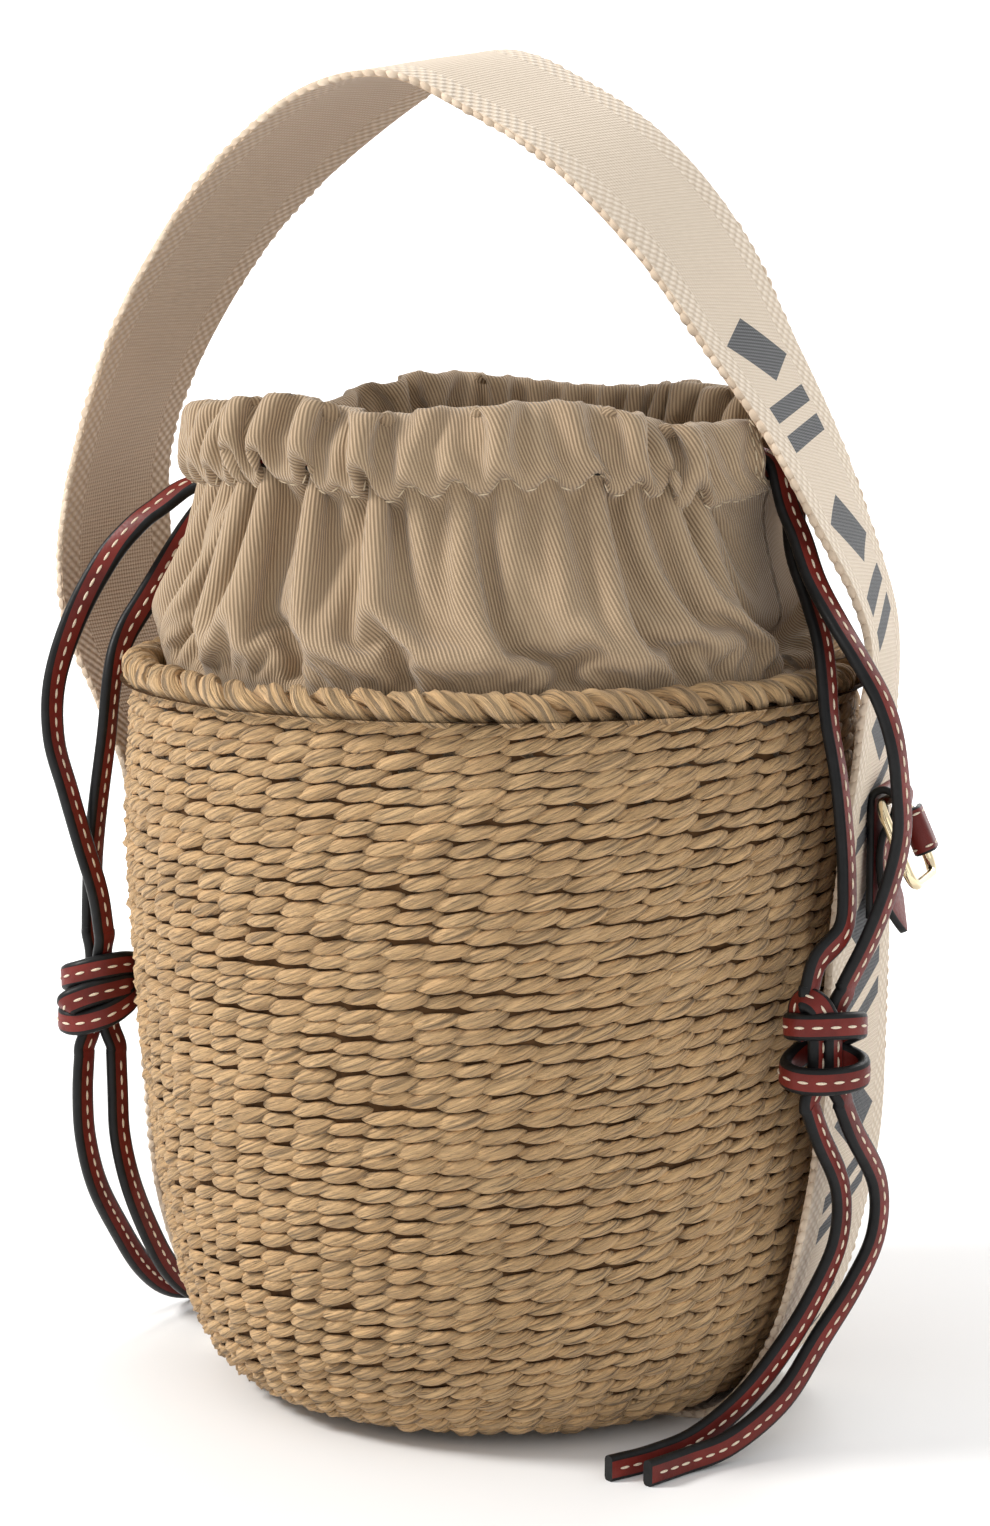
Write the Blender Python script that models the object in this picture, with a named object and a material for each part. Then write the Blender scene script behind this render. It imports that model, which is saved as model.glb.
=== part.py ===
"""Bucket bag: a woven basket with a drawstring cloth pouch and a webbing handle.

Metres, +Z up. The basket's axis is Z and the bag stands on z = 0. The webbing climbs the basket
at -X and +X, and -Y is the front.
"""

import math

import bmesh
import bpy
import numpy as np
from mathutils import Matrix, Vector

GAP = 0.0003  # left between parts that touch

# Basket
ROUND_STEPS = 40
WALL_THICKNESS = 0.0045
WALL_OUTLINE = [  # outer face, from the foot to the top, as (radius, height)
    (0.0620, 0.0022),
    (0.0700, 0.0036),
    (0.0785, 0.0105),
    (0.0855, 0.0250),
    (0.0905, 0.0450),
    (0.0955, 0.0800),
    (0.0985, 0.1150),
    (0.1000, 0.1450),
    (0.0994, 0.1750),
    (0.0975, 0.1915),
]
FOOT_RADIUS = WALL_OUTLINE[0][0] - 0.0012  # clears the wall's slanting foot edge
FOOT_HEIGHT = WALL_OUTLINE[0][1]
BASE_DOME = 0.0020  # how far the base's middle stands above its edge
RIM_RADIUS = 0.0950
RIM_HEIGHT = 0.1958
RIM_HALF = (0.0046, 0.0040)  # half the braid's width and height

# Lining and pouch
CLOTH = 0.0009
LINING_CLEARANCE = 0.0004
LINING_FIRST, LINING_LAST = 0.24, 0.97  # shares of the wall's outline that the lining covers
SKIRT_OUTLINE = [
    (0.0893, 0.1865),
    (0.0893, 0.2000),
    (0.0897, 0.2080),
    (0.0870, 0.2190),
    (0.0810, 0.2290),
    (0.0788, 0.2369),
]
CASING_RADIUS = 0.0780
CASING_HEIGHT = 0.2490
CASING_HALF = (0.0048, 0.0117)
CASING_END = 12.6  # degrees from the X axis to each end of the two halves
LACE_WIDTH = 0.0062
LACE_THICKNESS = 0.0033
LACE_END = 10.8
LACE_HEIGHTS = {"left": 0.2440, "right": 0.2540}

# Webbing, 50 mm wide
WEB_NEAR, WEB_FAR = -0.0200, 0.0300  # Y of its front and back edges
WEB_THICKNESS = 0.0018
WEB_MIDDLE = (WEB_NEAR + WEB_FAR) / 2
HANDLE_PIVOT_HEIGHT = 0.2000
HANDLE_LOW_END = HANDLE_PIVOT_HEIGHT - (WEB_FAR - WEB_NEAR) / 2 + 0.0005
# Stations along the webbing: X of the front edge, X of the back edge, their two heights.
FOOT_STATIONS = [
    (0.0962, 0.0962, 0.0500, 0.0500),
    (0.0915, 0.0915, 0.0320, 0.0320),
    (0.0852, 0.0852, 0.0175, 0.0175),
    (0.0772, 0.0772, 0.0066, 0.0066),
    (0.0700, 0.0700, 0.0019, 0.0019),
    (0.0600, 0.0600, WEB_THICKNESS / 2, WEB_THICKNESS / 2),
]
RIGHT_SIDE_STATIONS = [
    (0.1085, 0.1022, 0.1742, 0.1742),
    (0.1070, 0.1015, 0.1600, 0.1600),
    (0.1040, 0.1015, 0.1300, 0.1300),
    (0.1022, 0.1012, 0.1000, 0.1000),
    (0.1000, 0.0998, 0.0720, 0.0720),
]
LEFT_SIDE_STATIONS = [
    (0.1088, 0.1055, 0.1742, 0.1742),
    (0.1035, 0.1028, 0.1600, 0.1600),
    (0.1019, 0.1019, 0.1300, 0.1300),
    (0.1004, 0.1004, 0.1000, 0.1000),
    (0.0984, 0.0984, 0.0720, 0.0720),
]
HANDLE_STATIONS = [
    (-0.1095, -0.1060, HANDLE_LOW_END, HANDLE_LOW_END),
    (-0.1135, -0.1090, 0.1840, 0.1840),
    (-0.1225, -0.1155, 0.2030, 0.2040),
    (-0.1240, -0.1185, 0.2220, 0.2240),
    (-0.1195, -0.1175, 0.2460, 0.2500),
    (-0.1090, -0.1065, 0.2770, 0.2770),
    (-0.0940, -0.0880, 0.3030, 0.3040),
    (-0.0740, -0.0650, 0.3280, 0.3270),
    (-0.0480, -0.0380, 0.3465, 0.3460),
    (-0.0220, -0.0120, 0.3515, 0.3585),
    (0.0010, 0.0140, 0.3420, 0.3495),
    (0.0250, 0.0380, 0.3280, 0.3330),
    (0.0480, 0.0590, 0.3070, 0.3090),
    (0.0660, 0.0740, 0.2840, 0.2800),
    (0.0850, 0.0880, 0.2600, 0.2520),
    (0.0985, 0.0965, 0.2370, 0.2300),
    (0.1090, 0.1015, 0.2190, 0.2140),
    (0.1130, 0.1030, 0.2050, 0.2010),
    (0.1110, 0.1028, 0.1880, 0.1860),
    (0.1095, 0.1024, HANDLE_LOW_END, HANDLE_LOW_END),
]

# Leather tab on the right side, and the ring that it holds
TAB_ORIGIN = Vector((0.1059, WEB_MIDDLE, 0.1500))
TAB_YAW = math.radians(5.0)
TAB_THICKNESS = 0.0020
TAB_WIDTH = 0.0165
TAB_POINT_STARTS = -0.0120  # height, from the tab's origin, where the pointed end begins
FOLD_OUT, FOLD_UP, FOLD_RADIUS = 0.0046, 0.0155, 0.0033
RING_WIRE = 0.0014  # radius
RING_INNER = (0.0206, 0.0200)
RING_CORNER = 0.0045
RING_LEAN = math.radians(24.0)
WRAP_HEIGHT = 0.0125
WRAP_HALF_THICKNESS = 0.0031
WRAP_REACH = 0.0085
WRAP_HOLE = 0.0019

# Leather laces outside the casing: a round tube as wide as the flat lace leaves room for
CORD_RADIUS = 0.0030
CORD_STEP = 0.0075
CORD_ROUTES = {
    "cord_left_front": [
        (-0.0775, -0.0102, 0.2440),
        (-0.0804, -0.0090, 0.2439),
        (-0.0845, -0.0090, 0.2428),
        (-0.0895, -0.0115, 0.2405),
        (-0.0945, -0.0155, 0.2360),
        (-0.1000, -0.0190, 0.2310),
        (-0.1065, -0.0235, 0.2220),
        (-0.1140, -0.0285, 0.2060),
        (-0.1185, -0.0325, 0.1885),
        (-0.1170, -0.0360, 0.1730),
        (-0.1105, -0.0395, 0.1590),
        (-0.1040, -0.0425, 0.1450),
        (-0.1000, -0.0420, 0.1320),
        (-0.0995, -0.0398, 0.1198),
    ],
    "cord_left_back": [
        (-0.0775, 0.0102, 0.2440),
        (-0.0804, 0.0088, 0.2440),
        (-0.0845, 0.0078, 0.2418),
        (-0.0885, 0.0020, 0.2360),
        (-0.0920, -0.0070, 0.2265),
        (-0.0960, -0.0190, 0.2120),
        (-0.1000, -0.0260, 0.2010),
        (-0.1015, -0.0300, 0.1900),
        (-0.1030, -0.0315, 0.1730),
        (-0.1050, -0.0325, 0.1570),
        (-0.1070, -0.0325, 0.1420),
        (-0.1080, -0.0320, 0.1300),
        (-0.1080, -0.0325, 0.1194),
    ],
    "cord_right_front": [
        (0.0775, -0.0102, 0.2540),
        (0.0802, -0.0090, 0.2539),
        (0.0838, -0.0090, 0.2508),
        (0.0878, -0.0118, 0.2410),
        (0.0925, -0.0155, 0.2340),
        (0.0985, -0.0210, 0.2240),
        (0.1070, -0.0270, 0.2140),
        (0.1145, -0.0305, 0.2050),
        (0.1205, -0.0320, 0.1960),
        (0.1240, -0.0320, 0.1860),
        (0.1250, -0.0300, 0.1740),
        (0.1250, -0.0285, 0.1620),
        (0.1220, -0.0280, 0.1490),
        (0.1170, -0.0285, 0.1350),
        (0.1112, -0.0300, 0.1224),
    ],
    "cord_right_back": [
        (0.0775, 0.0102, 0.2540),
        (0.0802, 0.0088, 0.2539),
        (0.0836, 0.0066, 0.2508),
        (0.0850, 0.0000, 0.2400),
        (0.0885, -0.0075, 0.2285),
        (0.0950, -0.0140, 0.2175),
        (0.1005, -0.0205, 0.2085),
        (0.1035, -0.0250, 0.1990),
        (0.1055, -0.0280, 0.1890),
        (0.1080, -0.0290, 0.1780),
        (0.1100, -0.0295, 0.1650),
        (0.1115, -0.0305, 0.1500),
        (0.1115, -0.0325, 0.1380),
        (0.1063, -0.0367, 0.1300),
        (0.1045, -0.0380, 0.1224),
    ],
    "tail_left_front": [
        (-0.1070, -0.0390, 0.0868),
        (-0.1072, -0.0400, 0.0750),
        (-0.1075, -0.0385, 0.0620),
        (-0.1080, -0.0320, 0.0470),
        (-0.1090, -0.0190, 0.0310),
        (-0.1090, -0.0060, 0.0165),
        (-0.1080, 0.0080, 0.0068),
        (-0.1050, 0.0230, 0.0033),
        (-0.1000, 0.0370, 0.0032),
        (-0.0935, 0.0500, 0.0032),
    ],
    "tail_left_back": [
        (-0.1005, -0.0330, 0.0868),
        (-0.1002, -0.0330, 0.0750),
        (-0.1003, -0.0320, 0.0620),
        (-0.1008, -0.0260, 0.0470),
        (-0.1012, -0.0160, 0.0310),
        (-0.1008, -0.0050, 0.0165),
        (-0.1000, 0.0080, 0.0068),
        (-0.0970, 0.0210, 0.0033),
        (-0.0912, 0.0335, 0.0032),
        (-0.0830, 0.0455, 0.0032),
    ],
    "tail_right_front": [
        (0.1045, -0.0365, 0.0928),
        (0.1060, -0.0325, 0.0840),
        (0.1080, -0.0225, 0.0690),
        (0.1065, -0.0185, 0.0540),
        (0.1015, -0.0195, 0.0400),
        (0.0950, -0.0250, 0.0260),
        (0.0870, -0.0345, 0.0130),
        (0.0790, -0.0480, 0.0052),
        (0.0720, -0.0610, 0.0032),
        (0.0655, -0.0730, 0.0032),
    ],
    "tail_right_back": [
        (0.1110, -0.0300, 0.0928),
        (0.1130, -0.0260, 0.0840),
        (0.1155, -0.0150, 0.0690),
        (0.1140, -0.0110, 0.0540),
        (0.1085, -0.0120, 0.0400),
        (0.1015, -0.0180, 0.0260),
        (0.0960, -0.0305, 0.0130),
        (0.0882, -0.0470, 0.0052),
        (0.0808, -0.0600, 0.0033),
        (0.0760, -0.0725, 0.0033),
    ],
}
# Knots: centre, then half sizes across the wall, along the wall and upright.
KNOTS = {
    "knot_left": ((-0.1037, -0.0360, 0.1033), (0.0085, 0.0120, 0.0150)),
    "knot_right": ((0.1073, -0.0340, 0.1076), (0.0090, 0.0112, 0.0132)),
}


def clear_scene():
    for item in list(bpy.data.objects):
        bpy.data.objects.remove(item, do_unlink=True)


def material(name, color, roughness, metallic=0.0):
    made = bpy.data.materials.new(name)
    made.use_nodes = True
    shader = made.node_tree.nodes["Principled BSDF"]
    shader.inputs["Base Color"].default_value = (*color, 1.0)
    shader.inputs["Roughness"].default_value = roughness
    shader.inputs["Metallic"].default_value = metallic
    return made


def add_mesh(name, points, faces, finish, sharp_angle=40.0):
    """A mesh object with its faces pointing out."""
    mesh = bpy.data.meshes.new(name)
    mesh.from_pydata([tuple(p) for p in points], [], faces)
    shape = bmesh.new()
    shape.from_mesh(mesh)
    bmesh.ops.recalc_face_normals(shape, faces=shape.faces)
    shape.to_mesh(mesh)
    shape.free()
    mesh.materials.append(finish)
    mesh.shade_smooth()
    mesh.set_sharp_from_angle(angle=math.radians(sharp_angle))
    made = bpy.data.objects.new(name, mesh)
    bpy.context.scene.collection.objects.link(made)
    return made


def catmull_rom(points, per_span):
    """A smooth curve through the points, with per_span steps between each two."""
    p = np.array(points, float)
    p = np.vstack([2 * p[0] - p[1], p, 2 * p[-1] - p[-2]])
    out = []
    for i in range(1, len(p) - 2):
        for k in range(per_span):
            t = k / per_span
            a, b, c, d = p[i - 1], p[i], p[i + 1], p[i + 2]
            out.append(
                0.5 * (2 * b + (c - a) * t + (2 * a - 5 * b + 4 * c - d) * t * t
                       + (3 * b - 3 * c + d - a) * t ** 3)
            )
    out.append(p[-2])
    return np.array(out)


def even_points(points, step):
    """The curve again, with points evenly about step apart."""
    along = np.concatenate([[0], np.cumsum(np.linalg.norm(np.diff(points, axis=0), axis=1))])
    at = np.linspace(0, along[-1], max(2, round(along[-1] / step)) + 1)
    return np.stack([np.interp(at, along, points[:, k]) for k in range(points.shape[1])], axis=1)


def offset_outline(outline, distance):
    """An outline of (radius, height) points moved towards the axis by distance."""
    line = np.array(outline, float)
    along = np.gradient(line, axis=0)
    along /= np.linalg.norm(along, axis=1)[:, None]
    inward = np.stack([-along[:, 1], along[:, 0]], axis=1)
    return line + inward * distance


def turned_ring(name, section, finish, steps=ROUND_STEPS):
    """A closed section of (radius, height) points turned round the Z axis."""
    points = []
    for i in range(steps):
        angle = math.tau * i / steps
        points += [(r * math.cos(angle), r * math.sin(angle), z) for r, z in section]
    n = len(section)
    faces = []
    for i in range(steps):
        for j in range(n):
            a, b = i * n, (i + 1) % steps * n
            k = (j + 1) % n
            faces.append((a + j, b + j, b + k, a + k))
    return add_mesh(name, points, faces, finish)


def turned_shell(name, outline, outer_offset, thickness, finish):
    outer = offset_outline(outline, outer_offset)
    inner = offset_outline(outline, outer_offset + thickness)
    return turned_ring(name, [*outer, *inner[::-1]], finish)


def domed_disc(name, radius, low, thickness, finish, rings=2):
    """A round disc, its middle raised by BASE_DOME."""
    points = []
    faces = []
    steps = ROUND_STEPS
    layers = (low, low + thickness)
    for base in layers:
        points.append((0.0, 0.0, base + BASE_DOME))
        for ring in range(1, rings + 1):
            share = ring / rings
            lift = BASE_DOME * (1 - share ** 2)
            for i in range(steps):
                angle = math.tau * i / steps
                r = radius * share
                points.append((r * math.cos(angle), r * math.sin(angle), base + lift))
    layer_size = 1 + rings * steps
    for start in (0, layer_size):
        for i in range(steps):
            j = (i + 1) % steps
            faces.append((start, start + 1 + i, start + 1 + j))
            for ring in range(1, rings):
                a = start + 1 + (ring - 1) * steps
                b = a + steps
                faces.append((a + i, b + i, b + j, a + j))
    edge = 1 + (rings - 1) * steps
    for i in range(steps):
        j = (i + 1) % steps
        faces.append((edge + i, edge + j, layer_size + edge + j, layer_size + edge + i))
    return add_mesh(name, points, faces, finish)


def oval(half_width, half_height, steps):
    return [
        (half_width * math.cos(math.tau * i / steps), half_height * math.sin(math.tau * i / steps))
        for i in range(steps)
    ]


def arc_angles(first, last, steps):
    return [math.radians(first + (last - first) * i / steps) for i in range(steps + 1)]


def swept_arc(name, radius, height, section, angles, finish, hole=None):
    """A section swept round Z through the angles; hole is a second, inner section."""
    loops = [section] if hole is None else [section, hole]
    points = []
    for angle in angles:
        for loop in loops:
            for across, up in loop:
                r = radius + across
                points.append((r * math.cos(angle), r * math.sin(angle), height + up))
    n = len(section)
    row = n * len(loops)
    faces = []
    for i in range(len(angles) - 1):
        for side in range(len(loops)):
            a = i * row + side * n
            b = a + row
            faces += [(a + j, b + j, b + (j + 1) % n, a + (j + 1) % n) for j in range(n)]
    for start in (0, (len(angles) - 1) * row):
        if hole is None:
            faces.append(tuple(start + j for j in range(n)))
            continue
        for j in range(n):
            k = (j + 1) % n
            faces.append((start + j, start + k, start + n + k, start + n + j))
    return add_mesh(name, points, faces, finish)


def make_basket(raffia):
    outline = catmull_rom(WALL_OUTLINE, 1)
    turned_shell("basket_wall", outline, 0.0, WALL_THICKNESS, raffia)
    domed_disc("basket_base", FOOT_RADIUS, FOOT_HEIGHT, WALL_THICKNESS, raffia)
    section = [(RIM_RADIUS + x, RIM_HEIGHT + z) for x, z in oval(*RIM_HALF, 8)]
    turned_ring("rim_braid", section, raffia)


def make_lining(cloth):
    fine = catmull_rom(WALL_OUTLINE, 4)
    first = round(LINING_FIRST * (len(fine) - 1))
    last = round(LINING_LAST * (len(fine) - 1))
    outline = [fine[i] for i in np.linspace(first, last, 7).astype(int)]
    turned_shell("lining_wall", outline, WALL_THICKNESS + LINING_CLEARANCE, CLOTH, cloth)
    low = FOOT_HEIGHT + WALL_THICKNESS + GAP
    domed_disc("lining_base", FOOT_RADIUS - GAP, low, CLOTH, cloth)


def make_pouch(twill, leather):
    turned_shell("pouch_skirt", SKIRT_OUTLINE, 0.0, CLOTH, twill)
    section = oval(*CASING_HALF, 12)
    hole = oval(CASING_HALF[0] - CLOTH, CASING_HALF[1] - CLOTH, 12)
    for name, turn in (("casing_front", 180.0), ("casing_back", 0.0)):
        angles = arc_angles(turn + CASING_END, turn + 180 - CASING_END, 18)
        swept_arc(name, CASING_RADIUS, CASING_HEIGHT, section, angles, twill, hole)
    flat = [
        (x * LACE_THICKNESS / 2, z * LACE_WIDTH / 2) for x, z in ((1, -1), (1, 1), (-1, 1), (-1, -1))
    ]
    for side, turn in (("left", 180.0), ("right", 0.0)):
        angles = arc_angles(turn + LACE_END, turn + 360 - LACE_END, 38)
        swept_arc(f"lace_in_casing_{side}", CASING_RADIUS, LACE_HEIGHTS[side], flat, angles, leather)


def edge_curves(stations, per_span):
    """The smooth front and back edge lines through a band's stations, none below the ground."""
    rows = catmull_rom(stations, per_span)
    rows[:, 2:] = np.maximum(rows[:, 2:], WEB_THICKNESS / 2)
    near = np.stack([rows[:, 0], np.full(len(rows), WEB_NEAR), rows[:, 2]], axis=1)
    far = np.stack([rows[:, 1], np.full(len(rows), WEB_FAR), rows[:, 3]], axis=1)
    return near, far


def band(name, near, far, widths, finish):
    """A flat band between two edge lines; widths narrows it about its middle line."""
    middle = (near + far) / 2
    half = (far - near) / 2 * np.array(widths)[:, None]
    along = np.gradient(middle, axis=0)
    out = np.cross(half, along)
    out *= WEB_THICKNESS / 2 / np.linalg.norm(out, axis=1)[:, None]
    corners = [middle - half + out, middle + half + out, middle + half - out, middle - half - out]
    points = np.stack(corners, axis=1).reshape(-1, 3)
    last = 4 * (len(middle) - 1)
    faces = [(0, 1, 2), (0, 2, 3), (last, last + 1, last + 2), (last, last + 2, last + 3)]
    for i in range(len(middle) - 1):
        a, b = 4 * i, 4 * i + 4
        for j in range(4):
            k = (j + 1) % 4
            faces += [(a + j, a + k, b + k), (a + j, b + k, b + j)]
    return add_mesh(name, points, faces, finish)


def round_end_widths(near, far):
    """How wide a band is along its length when both its ends are half circles."""
    middle = (near + far) / 2
    along = np.concatenate([[0], np.cumsum(np.linalg.norm(np.diff(middle, axis=0), axis=1))])
    radius = (WEB_FAR - WEB_NEAR) / 2
    to_end = np.minimum(along, along[-1] - along)
    share = np.clip(1 - to_end / radius, 0, 1)
    return np.maximum(np.sqrt(1 - share ** 2), 0.08)


def make_webbing(webbing):
    mirrored = [(-a, -b, c, d) for a, b, c, d in LEFT_SIDE_STATIONS + FOOT_STATIONS]
    stations = mirrored + (RIGHT_SIDE_STATIONS + FOOT_STATIONS)[::-1]
    near, far = edge_curves(stations, 3)
    band("body_webbing", near, far, np.ones(len(near)), webbing)
    near, far = edge_curves(HANDLE_STATIONS, 4)
    band("handle_webbing", near, far, round_end_widths(near, far), webbing)


def tab_frame():
    """From the tab's own axes, X outward, Y along its width, Z up, to the bag's."""
    return Matrix.Translation(TAB_ORIGIN) @ Matrix.Rotation(TAB_YAW, 4, "Z")


def tab_path():
    """The folded strip's middle line, outward and up, from its back end round to its point."""
    back = [(0.0013, -0.0150), (0.0013, 0.0050)]
    angles = [math.radians(a) for a in (180, 150, 120, 90, 60, 30, 0)]
    fold = [
        (FOLD_OUT + FOLD_RADIUS * math.cos(a), FOLD_UP + FOLD_RADIUS * math.sin(a)) for a in angles
    ]
    front = [
        (0.0070, 0.0115),
        (0.0050, 0.0080),
        (0.0040, 0.0040),
        (0.0039, -0.0020),
        (0.0048, -0.0080),
        (0.0060, TAB_POINT_STARTS),
        (0.0074, -0.0160),
        (0.0088, -0.0195),
    ]
    return back + fold + front


def make_tab(leather):
    path = np.array(tab_path())
    along = np.gradient(path, axis=0)
    along /= np.linalg.norm(along, axis=1)[:, None]
    side = np.stack([-along[:, 1], along[:, 0]], axis=1) * TAB_THICKNESS / 2
    half = np.full(len(path), TAB_WIDTH / 2)
    half[-2] *= 0.62
    half[-1] *= 0.12
    points = []
    for (x, z), (sx, sz), w in zip(path, side, half, strict=True):
        points += [(x + sx, -w, z + sz), (x + sx, w, z + sz), (x - sx, w, z - sz), (x - sx, -w, z - sz)]
    last = 4 * (len(path) - 1)
    faces = [(0, 1, 2, 3), (last, last + 1, last + 2, last + 3)]
    for i in range(len(path) - 1):
        for j in range(4):
            k = (j + 1) % 4
            faces.append((4 * i + j, 4 * i + k, 4 * i + 4 + k, 4 * i + 4 + j))
    frame = tab_frame()
    add_mesh("tab_strip", [frame @ Vector(p) for p in points], faces, leather)


def rounded_loop(width, height, corner, per_corner):
    """Points round a rectangle with round corners, hung from the middle of its top side."""
    centres = [
        (width / 2 - corner, -corner, 90),
        (-width / 2 + corner, -corner, 180),
        (-width / 2 + corner, -height + corner, 270),
        (width / 2 - corner, -height + corner, 0),
    ]
    out = []
    for y, z, start in centres:
        for k in range(per_corner + 1):
            angle = math.radians(start - 90 + 90 * k / per_corner)
            out.append((y + corner * math.cos(angle), z + corner * math.sin(angle)))
    return out


def ring_frame():
    """Hangs from the fold's centre, leaning outward."""
    place = Matrix.Translation((FOLD_OUT, 0, FOLD_UP))
    return tab_frame() @ place @ Matrix.Rotation(-RING_LEAN, 4, "Y")


def make_ring(gold, leather):
    width = RING_INNER[0] + 2 * RING_WIRE
    height = RING_INNER[1] + 2 * RING_WIRE
    loop = np.array(rounded_loop(width, height, RING_CORNER, 4))
    after, before = np.roll(loop, -1, axis=0), np.roll(loop, 1, axis=0)
    along = (after - before) / np.linalg.norm(after - before, axis=1)[:, None]
    sides = 8
    points = []
    for (y, z), (ty, tz) in zip(loop, along, strict=True):
        for j in range(sides):
            a = math.tau * j / sides
            out = RING_WIRE * math.cos(a)
            points.append((RING_WIRE * math.sin(a), y - tz * out, z + ty * out))
    n = len(loop)
    faces = []
    for i in range(n):
        for j in range(sides):
            a, b, k = i * sides, (i + 1) % n * sides, (j + 1) % sides
            faces.append((a + j, b + j, b + k, a + k))
    frame = ring_frame()
    add_mesh("ring", [frame @ Vector(p) for p in points], faces, gold)
    make_wrap(frame, width / 2, -height * 0.49, leather)


def make_wrap(frame, bar, middle, leather):
    """A leather sleeve round the ring's back bar, reaching past it."""
    half = WRAP_HALF_THICKNESS
    outer = []
    inner = []
    steps = 16
    for i in range(steps):
        angle = math.tau * i / steps
        x, y = math.cos(angle), math.sin(angle)
        reach = WRAP_REACH - half if y > 0 else 0.0
        outer.append((half * x, bar + reach + half * y))
        inner.append((WRAP_HOLE * x, bar + WRAP_HOLE * y))
    points = []
    for up in (-WRAP_HEIGHT / 2, WRAP_HEIGHT / 2):
        points += [(x, y, middle + up) for x, y in outer + inner]
    faces = []
    row = 2 * steps
    for j in range(steps):
        k = (j + 1) % steps
        faces.append((j, k, row + k, row + j))
        faces.append((steps + j, steps + k, row + steps + k, row + steps + j))
        for level in (0, row):
            faces.append((level + j, level + k, level + steps + k, level + steps + j))
    add_mesh("ring_wrap", [frame @ Vector(p) for p in points], faces, leather)


def make_cords(leather):
    for name, route in CORD_ROUTES.items():
        points = even_points(catmull_rom(route, 12), CORD_STEP)
        curve = bpy.data.curves.new(name, "CURVE")
        curve.dimensions = "3D"
        curve.bevel_depth = CORD_RADIUS
        curve.bevel_resolution = 2
        curve.use_fill_caps = True
        curve.materials.append(leather)
        spline = curve.splines.new("POLY")
        spline.points.add(len(points) - 1)
        for target, point in zip(spline.points, points, strict=True):
            target.co = (*point, 1.0)
        bpy.context.scene.collection.objects.link(bpy.data.objects.new(name, curve))


def make_knots(leather):
    """Each knot is a barrel, flat where the laces enter and leave it."""
    steps = 12
    levels = ((-1.0, 0.80), (-0.55, 1.0), (0.55, 1.0), (1.0, 0.80))
    for name, (centre, half) in KNOTS.items():
        outward = Vector((centre[0], centre[1], 0)).normalized()
        sideways = Vector((-outward.y, outward.x, 0))
        points = []
        for level, size in levels:
            for i in range(steps):
                a = math.tau * i / steps
                spot = outward * half[0] * size * math.cos(a) + sideways * half[1] * size * math.sin(a)
                points.append(Vector(centre) + spot + Vector((0, 0, level * half[2])))
        faces = [tuple(range(steps)), tuple(range((len(levels) - 1) * steps, len(levels) * steps))]
        for i in range(len(levels) - 1):
            for j in range(steps):
                k = (j + 1) % steps
                faces.append((i * steps + j, i * steps + k, (i + 1) * steps + k, (i + 1) * steps + j))
        add_mesh(name, points, faces, leather)


def main():
    clear_scene()
    raffia = material("raffia", (0.57, 0.38, 0.18), 0.75)
    lining = material("lining_cloth", (0.42, 0.33, 0.22), 0.85)
    twill = material("cotton_twill", (0.36, 0.27, 0.17), 0.85)
    webbing = material("webbing", (0.72, 0.62, 0.50), 0.8)
    leather = material("leather", (0.13, 0.015, 0.012), 0.45)
    gold = material("pale_gold", (0.83, 0.66, 0.40), 0.2, 1.0)
    make_basket(raffia)
    make_lining(lining)
    make_pouch(twill, leather)
    make_webbing(webbing)
    make_tab(leather)
    make_ring(gold, leather)
    make_cords(leather)
    make_knots(leather)


main()
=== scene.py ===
"""The bucket bag's looks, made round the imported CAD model.

Metres, +Z up, the basket's axis on Z. The webbing climbs the basket at -X and +X, and -Y is the
front. The order is: camera and light, laces and knots, basket, pouch, webbing, tab and ring, floor.
"""

import math

import bmesh
import bpy
import numpy as np
from mathutils import Matrix, Vector


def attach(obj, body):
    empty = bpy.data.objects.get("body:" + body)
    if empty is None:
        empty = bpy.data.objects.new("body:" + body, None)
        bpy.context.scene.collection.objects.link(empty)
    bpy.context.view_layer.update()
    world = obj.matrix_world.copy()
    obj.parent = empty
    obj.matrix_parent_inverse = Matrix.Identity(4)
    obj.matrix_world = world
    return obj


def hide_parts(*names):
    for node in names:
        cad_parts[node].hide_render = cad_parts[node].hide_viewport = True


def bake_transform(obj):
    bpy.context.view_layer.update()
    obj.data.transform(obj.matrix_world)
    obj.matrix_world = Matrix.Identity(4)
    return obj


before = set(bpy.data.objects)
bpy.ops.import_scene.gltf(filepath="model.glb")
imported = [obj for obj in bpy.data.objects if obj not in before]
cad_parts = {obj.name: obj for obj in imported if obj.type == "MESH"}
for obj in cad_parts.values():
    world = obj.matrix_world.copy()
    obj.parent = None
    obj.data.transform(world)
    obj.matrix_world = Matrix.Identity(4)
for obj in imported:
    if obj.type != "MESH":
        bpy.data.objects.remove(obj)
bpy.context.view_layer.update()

UP = np.array([0.0, 0.0, 1.0])
SEED = 7


# ---------------------------------------------------------------- small tools


def unit(v):
    """The vectors along the last axis, made one long."""
    v = np.asarray(v, float)
    return v / np.maximum(np.linalg.norm(v, axis=-1, keepdims=True), 1e-12)


def catmull_rom(points, per_span):
    """A smooth curve through the points, with per_span steps between each two."""
    p = np.array(points, float)
    p = np.vstack([2 * p[0] - p[1], p, 2 * p[-1] - p[-2]])
    out = []
    for i in range(1, len(p) - 2):
        for k in range(per_span):
            t = k / per_span
            a, b, c, d = p[i - 1], p[i], p[i + 1], p[i + 2]
            out.append(
                0.5 * (2 * b + (c - a) * t + (2 * a - 5 * b + 4 * c - d) * t * t
                       + (3 * b - 3 * c + d - a) * t ** 3)
            )
    out.append(p[-2])
    return np.array(out)


def lengths_along(points):
    return np.concatenate([[0], np.cumsum(np.linalg.norm(np.diff(points, axis=0), axis=1))])


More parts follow.
